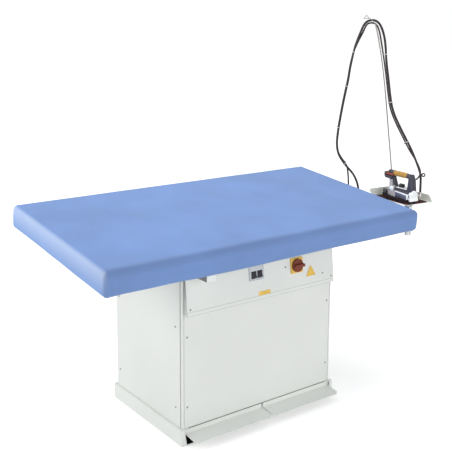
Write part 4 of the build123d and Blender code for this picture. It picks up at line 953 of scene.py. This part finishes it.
stud = round_bar("stud", (0, -0.0035, 0.0595), 0.0036, 0.006, "Z", 20)
round_edges(stud, above(0.062), 0.001, 2)
finished_in(casting_lit_copy, boss, heel, foot, rail)
finished_in(bright_steel("stud_steel", (120, 118, 118), 0.35), stud)
body = joined("iron_casting", [shell, nose, column, boss, heel, foot, rail, stud])
body.data.transform(on_rest)
done(body, None, "cast_aluminium", "iron", "iron_body")

# Handle: one phenolic moulding in anthracite, screwed to the casting: a base, a slanted front
# leg, the lobe that guides the thumb with its round cap, a broad rear leg, and the heat
# shield over the nose.
base = block("base", (-0.0265, -0.094, 0.0360), (0.0265, -0.006, 0.0480))
round_edges(base, upright_edge, 0.005, 4)
round_edges(base, above(0.047), 0.003, 3)
riser = block("riser", (-0.0200, -0.090, 0.0460), (0.0200, 0.018, 0.0556))
round_edges(riser, every_edge, 0.0015, 2)
front_leg = block("front_leg", (-0.0085, 0.0035, 0.048), (0.0085, 0.0190, 0.104))
shift(front_leg, lambda spot: spot.z > 0.1 and spot.y < 0.01, (0, 0.0230, 0))
shift(front_leg, lambda spot: spot.z > 0.1 and 0.01 < spot.y < 0.02, (0, 0.0290, 0))
round_edges(front_leg, every_edge, 0.003, 3)
lobe = block("lobe", (-0.0165, 0.0330, 0.0860), (0.0165, 0.0890, 0.1025))
shift(lobe, lambda spot: spot.y > 0.08 and spot.z < 0.09, (0, -0.006, 0.003))
round_edges(lobe, every_edge, 0.0045, 4)
thumb_end = block("thumb_end", (-0.0165, 0.0745, 0.0950), (0.0165, 0.0890, 0.1190))
round_edges(thumb_end, every_edge, 0.0055, 4)
lid = block("lid", (-0.0145, 0.0440, 0.1172), (0.0145, 0.0800, 0.1204))
round_edges(lid, every_edge, 0.0010, 2)
neck = block("neck", (-0.0130, 0.0260, 0.098), (0.0130, 0.0460, 0.129))
round_edges(neck, every_edge, 0.0045, 4)
cap = round_bar("cap", (0, 0.0565, 0.115), 0.0115, 0.030, "Z")
round_edges(cap, above(0.129), 0.005, 4)
rear_leg = block("rear_leg", (-0.0185, -0.1035, 0.0450), (0.0185, -0.0730, 0.1270))
cut_across(rear_leg, (0.103,), 2)
pull_in(rear_leg, lambda spot: spot.z > 0.1, 0.0025)
shift(rear_leg, lambda spot: spot.z > 0.1 and spot.y > -0.08, (0, -0.0045, 0))
shift(rear_leg, lambda spot: 0.1 < spot.z < 0.11 and spot.y < -0.1, (0, 0.0045, 0))
shift(rear_leg, lambda spot: spot.z > 0.12 and spot.y < -0.1, (0, 0.0155, 0))
round_edges(rear_leg, every_edge, 0.0035, 4)
collar = round_bar("collar", (0, -0.0715, 0.1165), 0.0120, 0.018, "Y")
shield = block("shield", (-0.0250, 0.0590, 0.0125), (0.0250, 0.1020, 0.0340))
pull_in(shield, lambda spot: spot.y > 0.1, 0.017)
round_edges(shield, every_edge, 0.0040, 4)
handle = joined("handle_moulding", [base, riser, front_leg, lobe, thumb_end, lid, neck, cap,
                                    rear_leg, collar, shield])
handle.data.transform(on_rest)
handle_plastic = moulding("handle_anthracite", (58, 56, 68), 0.4)
done(handle, handle_plastic, "handle_plastic", "iron", "iron_handle")

# Grip: a cork sleeve on the handle's steel rod, turned slightly barrel shaped.
grip_y, grip_z, grip_r, grip_length = -0.0150, 0.1170, 0.0126, 0.094
grip = round_bar("cork_sleeve", (0, grip_y, grip_z), grip_r, grip_length, "Y", 40)
cut_across(grip, (-0.050, -0.033, -0.015, 0.003, 0.020), 1)
for vertex in grip.data.vertices:
    swell = 1.06 - 0.10 * ((vertex.co.y - grip_y) / (grip_length / 2)) ** 2
    vertex.co.x *= swell
    vertex.co.z = grip_z + (vertex.co.z - grip_z) * swell
round_edges(grip, rim(1, 0.0465, grip_y), 0.002, 3)
grip.data.transform(on_rest)
cork, tree, shader = start_finish("cork_grip")
crumbs = grains(tree, 420)
shade_by(tree, shader, crumbs["Color"], (160, 116, 46), (216, 170, 84), 0.1, 0.9)
gloss_by(tree, shader, crumbs["Color"], 0.62, 0.82)
relief(tree, shader, crumbs["Distance"], 0.0003, 0.0005)
done(grip, cork, "cork", "iron", "iron_grip")

# Steam button: a red-brown fork that straddles the neck under a thin lid, with a bar on either
# side for the thumb and a bridge across the front.
fork_inside_x, bar_length = 0.0139, 0.0460
button = block("button_fork", (-0.0185, 0.0703, 0.1065), (0.0185, 0.0735, 0.1165))
cut_across(button, (-fork_inside_x, fork_inside_x), 0)
nothing_picked(button.data)
for face in button.data.polygons:
    face.select = face.normal.y < -0.9 and abs(face.center.x) > fork_inside_x
edited("FACE", bpy.ops.mesh.extrude_faces_move, TRANSFORM_OT_shrink_fatten={"value": bar_length})
round_edges(button, rim(0, 0.018), 0.0016, 3)
button.data.transform(on_rest)
button_red = moulding("button_red_brown", (158, 66, 36), 0.36)
done(button, button_red, "knob_plastic", "steam_button", "iron_button")

# Heat dial: a black knob with a ribbed edge and a pointer.
dial_y, dial_ribs = -0.022, 18
dial = round_bar("dial_knob", (0, dial_y, 0.0650), 0.0140, 0.0138, "Z", 72)
for vertex in dial.data.vertices:
    spoke = math.atan2(vertex.co.y - dial_y, vertex.co.x)
    share = 1 + 0.03 * math.cos(dial_ribs * spoke)
    vertex.co.x *= share
    vertex.co.y = dial_y + (vertex.co.y - dial_y) * share
round_edges(dial, above(0.071), 0.0014, 2)
pointer = block("pointer", (-0.0016, -0.0215, 0.0710), (0.0016, -0.0085, 0.0742))
round_edges(pointer, every_edge, 0.0006, 2)
dial = joined("dial_knob", [dial, pointer])
dial.data.transform(on_rest)
done(dial, switch_black, "dark_plastic", "heat_dial", "iron_dial")

# Steam inlet: a nickel plated elbow screwed into the casting beside the heel.
coat(bright_steel("inlet_nickel", (186, 184, 182), 0.45), "iron_inlet")

# Spare turn of the cable, tied up beside the steam hose where the two part above the iron.
bpy.ops.object.select_all(action="DESELECT")
bpy.ops.mesh.primitive_torus_add(major_radius=0.0070, minor_radius=0.0030, major_segments=32,
                                 minor_segments=14)
turn = bpy.context.object
turn.name = "spare_turn"
turn.data.transform(Matrix.Translation((0.9420, -0.2990, 0.9600))
                    @ Matrix.Rotation(math.radians(-36), 4, "Z")
                    @ Matrix.Rotation(math.radians(80), 4, "X"))
done(turn, moulding("turn_black", (34, 24, 30), 0.6), "cable_rubber", "iron")

# Hoses: an 11 mm steam hose in black braid and an 8 mm textile covered cable. They leave the
# cabinet through glands, rise to the pole's wire eye side by side and fall to the iron. Each
# stretch is one flexible length, and white nylon ties keep the two together.
steam_d, cable_d = 0.011, 0.008
board_end, rest_middle = 0.800, -0.200
gland_x, gland_z = 0.421, 0.690
steam_gland_y, cable_gland_y = 0.020, 0.098


def from_end(points):
    """Points given in millimetres from the board's end, the rest's middle and the board's top."""
    return [(board_end + x / 1000, rest_middle + y / 1000, board_height + z / 1000)
            for x, y, z in points]


hook_steam, hook_cable = from_end([(69.9, 199.1, 803), (69.1, 199.6, 790)])
steam_rise_points = [
    (gland_x, steam_gland_y, gland_z), (gland_x + 0.049, steam_gland_y, gland_z),
    (gland_x + 0.119, steam_gland_y - 0.003, gland_z - 0.020)
] + from_end([
    (-110, 207, -204), (-44, 204, -180), (4, 205, -138), (29, 208, -88), (36, 214, -39),
    (37, 226, 8), (28, 248, 51), (8, 270, 82), (-16, 284, 116), (-35, 294, 152), (-44, 297, 200),
    (-43, 292, 254), (-39, 287, 306), (-33, 276, 384), (-26, 265, 456), (-19, 256, 512),
    (-12, 252, 576), (-4, 246, 630), (5, 242, 671), (17, 235.5, 712), (30.6, 226.4, 754),
    (41.2, 219, 785), (57.6, 207.6, 802)
]) + [hook_steam]
cable_rise_points = [
    (gland_x, cable_gland_y, gland_z), (gland_x + 0.044, cable_gland_y, gland_z),
    (gland_x + 0.107, cable_gland_y, gland_z - 0.014)
] + from_end([
    (-120, 295, -198), (-56, 292, -176), (-8, 290, -142), (22, 288, -98), (33, 286, -48),
    (32, 283, 2), (26, 282, 44), (14, 278, 90), (-10, 292, 124), (-29, 302, 158), (-38, 305, 206),
    (-37, 300, 262), (-33, 295, 312), (-27, 284, 392), (-20, 273, 464), (-13, 264, 520),
    (-6, 260, 584), (3, 254, 634), (13.5, 248.5, 668), (26.5, 238, 708), (39.5, 221, 749),
    (47.8, 214.5, 777), (57.6, 207.6, 789.5)
]) + [hook_cable]
steam_drop_points = [hook_steam] + from_end([
    (82.2, 190.6, 804), (100.3, 178, 790), (113.4, 168.9, 762), (123.2, 162, 724),
    (128.5, 156.5, 676), (130, 151, 610), (135.2, 136.6, 522), (134.2, 121, 444), (131, 101, 380),
    (132, 67, 323), (135, 23, 261), (137, -22, 201), (136, -62, 138), (132, -92, 88),
    (121.4, -101.9, 44), (121.4, -101.9, 7)
])
cable_drop_points = [hook_cable] + from_end([
    (80.6, 191.6, 790.5), (93.7, 182.5, 777), (102.7, 176.3, 750), (108.5, 172.3, 718),
    (115.5, 166, 670), (122.2, 156.7, 608), (127.5, 142.3, 520.6), (126.5, 126.6, 442.3),
    (122.9, 106.1, 377.5), (123.6, 71.4, 319.6), (126.5, 27.2, 257.4), (128, -18, 196),
    (127.5, -50, 165), (127, -80, 130), (124, -97, 103), (113, -102, 83), (95.2, -96.4, 69.2)
])


def route_curve(name, points, thickness):
    """A smooth curve through the hose's route."""
    curve = bpy.data.curves.new(name, "CURVE")
    curve.dimensions = "3D"
    curve.bevel_depth = thickness / 2
    curve.bevel_resolution = 4
    curve.use_fill_caps = thickness > 0
    spline = curve.splines.new("NURBS")
    spline.points.add(len(points) - 1)
    for spot, place in zip(spline.points, points):
        spot.co = (*place, 1)
    spline.order_u = 3
    spline.use_endpoint_u = True
    spline.resolution_u = 8
    return curve


def centre_line(points):
    """The points that a route's smooth curve runs through."""
    bare = bpy.data.objects.new("route", route_curve("route", points, 0))
    bpy.context.scene.collection.objects.link(bare)
    bpy.context.view_layer.update()
    drawn = bare.evaluated_get(bpy.context.evaluated_depsgraph_get())
    line = bpy.data.meshes.new_from_object(drawn)
    spots = [vertex.co.copy() for vertex in line.vertices]
    bpy.data.objects.remove(bare)
    return spots


def hose(name, points, thickness, finish):
    """A round hose along its route, as a mesh, with the line that it follows."""
    bpy.ops.object.select_all(action="DESELECT")
    piece = bpy.data.objects.new(name, route_curve(name, points, thickness))
    bpy.context.scene.collection.objects.link(piece)
    piece.select_set(True)
    bpy.context.view_layer.objects.active = piece
    bpy.ops.object.convert(target="MESH")
    piece = bpy.context.object
    bpy.ops.object.shade_smooth()
    piece.data.materials.clear()
    piece.data.materials.append(finish)
    piece.select_set(False)
    return piece, centre_line(points)


def hose_cover(name, dark, light, pitch):
    """Braided or woven hose covering: crossed threads, slightly worn."""
    finish, tree, shader = start_finish(name)
    braid = clouds(tree, pitch, 2)
    shade_by(tree, shader, braid, dark, light)
    gloss_by(tree, shader, braid, 0.5, 0.7)
    relief(tree, shader, braid, 0.0003)
    return finish


steam_braid = hose_cover("steam_braid", (20, 12, 17), (40, 28, 34), 700)
cable_weave = hose_cover("cable_weave", (22, 14, 19), (42, 30, 36), 900)
steam_rise, steam_rise_line = hose("steam_hose_up", steam_rise_points, steam_d, steam_braid)
cable_rise, cable_rise_line = hose("iron_cable_up", cable_rise_points, cable_d, cable_weave)
steam_drop, steam_drop_line = hose("steam_hose_down", steam_drop_points, steam_d, steam_braid)
cable_drop, cable_drop_line = hose("iron_cable_down", cable_drop_points, cable_d, cable_weave)
for piece, node, kind in ((steam_rise, "steam_hose_rise", "hose_rubber"),
                          (cable_rise, "iron_cable_rise", "cable_rubber"),
                          (steam_drop, "steam_hose_drop", "hose_rubber"),
                          (cable_drop, "iron_cable_drop", "cable_rubber")):
    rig.replaces(piece, node)
    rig.slot(piece, kind)
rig.ride(steam_rise, "base")
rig.ride(cable_rise, "base")
falling = dict(start=(0.9, -0.1, 1.66), end=(0.9, -0.1, 0.955))
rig.blend(steam_drop, "base", "iron", **falling)
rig.blend(cable_drop, "base", "iron", **falling)
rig.cord(steam_rise, exit=steam_rise_points[0], length=1.42, diameter=steam_d, far_end="object",
        stiffness="medium", lay="hanging", path=steam_rise_line, with_pieces=["ties_rise"])
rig.cord(cable_rise, exit=cable_rise_points[0], length=1.38, diameter=cable_d, far_end="object",
        stiffness="medium", lay="hanging", path=cable_rise_line)
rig.cord(steam_drop, exit=steam_drop_points[0], length=0.896, diameter=steam_d, far_end="object",
        stiffness="medium", lay="hanging", path=steam_drop_line, with_pieces=["ties_drop"])
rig.cord(cable_drop, exit=cable_drop_points[0], length=0.845, diameter=cable_d, far_end="object",
        stiffness="medium", lay="hanging", path=cable_drop_line)
coat(moulding("tie_white", (190, 186, 188), 0.4), "ties_rise", "ties_drop")
coat(switch_black, "hose_glands")

# Studio: the table stands on a white sweep, under large soft lamps from the left, from the rear
# left, from the front and from above, and the camera looks slightly down on it.
camera_place = Vector((-2.0923, -2.8461, 1.6997))
camera_yaw, camera_pitch, camera_roll = [math.radians(angle) for angle in (36.412, -9.904, 0.283)]
focal_pixels, frame_pixels, centre_row, sensor_width = 832.53, 452, 160, 36
bpy.ops.object.camera_add(location=camera_place)
camera = bpy.context.object
turned = Matrix.Rotation(-camera_yaw, 3, "Z") @ Matrix.Rotation(math.pi / 2 + camera_pitch, 3, "X")
camera.rotation_euler = (turned @ Matrix.Rotation(camera_roll, 3, "Z")).to_euler()
camera.data.sensor_width = sensor_width
camera.data.lens = focal_pixels / frame_pixels * sensor_width
camera.data.shift_y = (centre_row - frame_pixels / 2) / frame_pixels
camera.data.clip_end = 100
bpy.context.scene.camera = camera


def soft_lamp(name, place, aim, size, power):
    """A square soft box."""
    bpy.ops.object.light_add(type="AREA", location=place)
    lamp = bpy.context.object
    lamp.name = name
    lamp.rotation_euler = (Vector(aim) - Vector(place)).to_track_quat("-Z", "Y").to_euler()
    lamp.data.size = size
    lamp.data.energy = power


soft_lamp("left_soft_box", (-4.4, 1.0, 2.2), (0, 0, 0.6), 3.0, 70)
soft_lamp("rear_left_soft_box", (-3.2, 4.4, 2.2), (-0.4, 0, 0.8), 2.5, 90)
soft_lamp("front_soft_box", (0.4, -5.2, 1.5), (0, 0, 0.5), 3.0, 112)
soft_lamp("top_soft_box", (0.2, -0.2, 3.4), (0.2, -0.2, 0.8), 3.0, 34)

# Sweep: matt white paper that glows a little, so that it stays white at a distance. It is painted
# dark, with no glow, under the cabinet's left front as a painted shadow, where the photographed floor is black.
bpy.ops.mesh.primitive_plane_add(size=60)
sweep = bpy.context.object
sweep.name = "studio_sweep"
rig.stage(sweep)
paper, tree, shader = start_finish("sweep_paper")
shader.inputs["Roughness"].default_value = 0.9
shader.inputs["Specular IOR Level"].default_value = 0
sight = tree.nodes.new("ShaderNodeLightPath")
glow = tree.nodes.new("ShaderNodeEmission")
far = tree.nodes.new("ShaderNodeVectorMath")
far.operation = "LENGTH"
tree.links.new(own_place(tree), far.inputs[0])
near_reach, far_reach, near_glow, far_glow = 1.2, 4.5, 0.42, 0.75
glow_share = spread(tree, far.outputs["Value"], near_reach, far_reach, near_glow, far_glow)
ground = split(tree, own_place(tree))
# A painted shadow: the paper is darkened and its glow taken away under the cabinet's left front.
painted_shadow_under_cabinet = times(tree, spread(tree, ground["X"], -0.403, -0.398, 0, 1),
                      spread(tree, ground["X"], -0.30, -0.20, 1, 0),
                      spread(tree, ground["Y"], -0.272, -0.266, 0, 1),
                      spread(tree, ground["Y"], 0.25, 0.27, 1, 0))
lit = worked_out(tree, "SUBTRACT", 1, painted_shadow_under_cabinet)
tree.links.new(times(tree, glow_share, lit), glow.inputs["Strength"])
shade_by(tree, shader, lit, (40, 36, 40), (250, 250, 250), 0, 1)
both = tree.nodes.new("ShaderNodeAddShader")
chosen = tree.nodes.new("ShaderNodeMixShader")
out = tree.nodes["Material Output"]
tree.links.new(shader.outputs["BSDF"], both.inputs[0])
tree.links.new(glow.outputs["Emission"], both.inputs[1])
tree.links.new(sight.outputs["Is Camera Ray"], chosen.inputs["Fac"])
tree.links.new(shader.outputs["BSDF"], chosen.inputs[1])
tree.links.new(both.outputs["Shader"], chosen.inputs[2])
tree.links.new(chosen.outputs["Shader"], out.inputs["Surface"])
sweep.data.materials.append(paper)

# Room: white where the camera or a shiny surface sees it, and dimmer as a light.
room_light = 0.42
room = bpy.data.worlds.new("white_room")
bpy.context.scene.world = room
room.use_nodes = True
tree = room.node_tree
dim = tree.nodes["Background"]
dim.inputs["Color"].default_value = (1, 1, 1, 1)
dim.inputs["Strength"].default_value = room_light
white = tree.nodes.new("ShaderNodeBackground")
white.inputs["Color"].default_value = (1, 1, 1, 1)
sight = tree.nodes.new("ShaderNodeLightPath")
mirrored = worked_out(tree, "MAXIMUM", sight.outputs["Is Glossy Ray"],
                      sight.outputs["Is Transmission Ray"])
seen = worked_out(tree, "MAXIMUM", sight.outputs["Is Camera Ray"], mirrored)
chosen = tree.nodes.new("ShaderNodeMixShader")
tree.links.new(seen, chosen.inputs["Fac"])
tree.links.new(dim.outputs["Background"], chosen.inputs[1])
tree.links.new(white.outputs["Background"], chosen.inputs[2])
tree.links.new(chosen.outputs["Shader"], tree.nodes["World Output"].inputs["Surface"])
bpy.context.scene.view_settings.view_transform = "Standard"

seen_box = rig.bounds()
with open("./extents.json", "w") as sizes:
    json.dump({"cad": [list(corner) for corner in cad_box],
               "visual": [list(corner) for corner in seen_box]}, sizes)
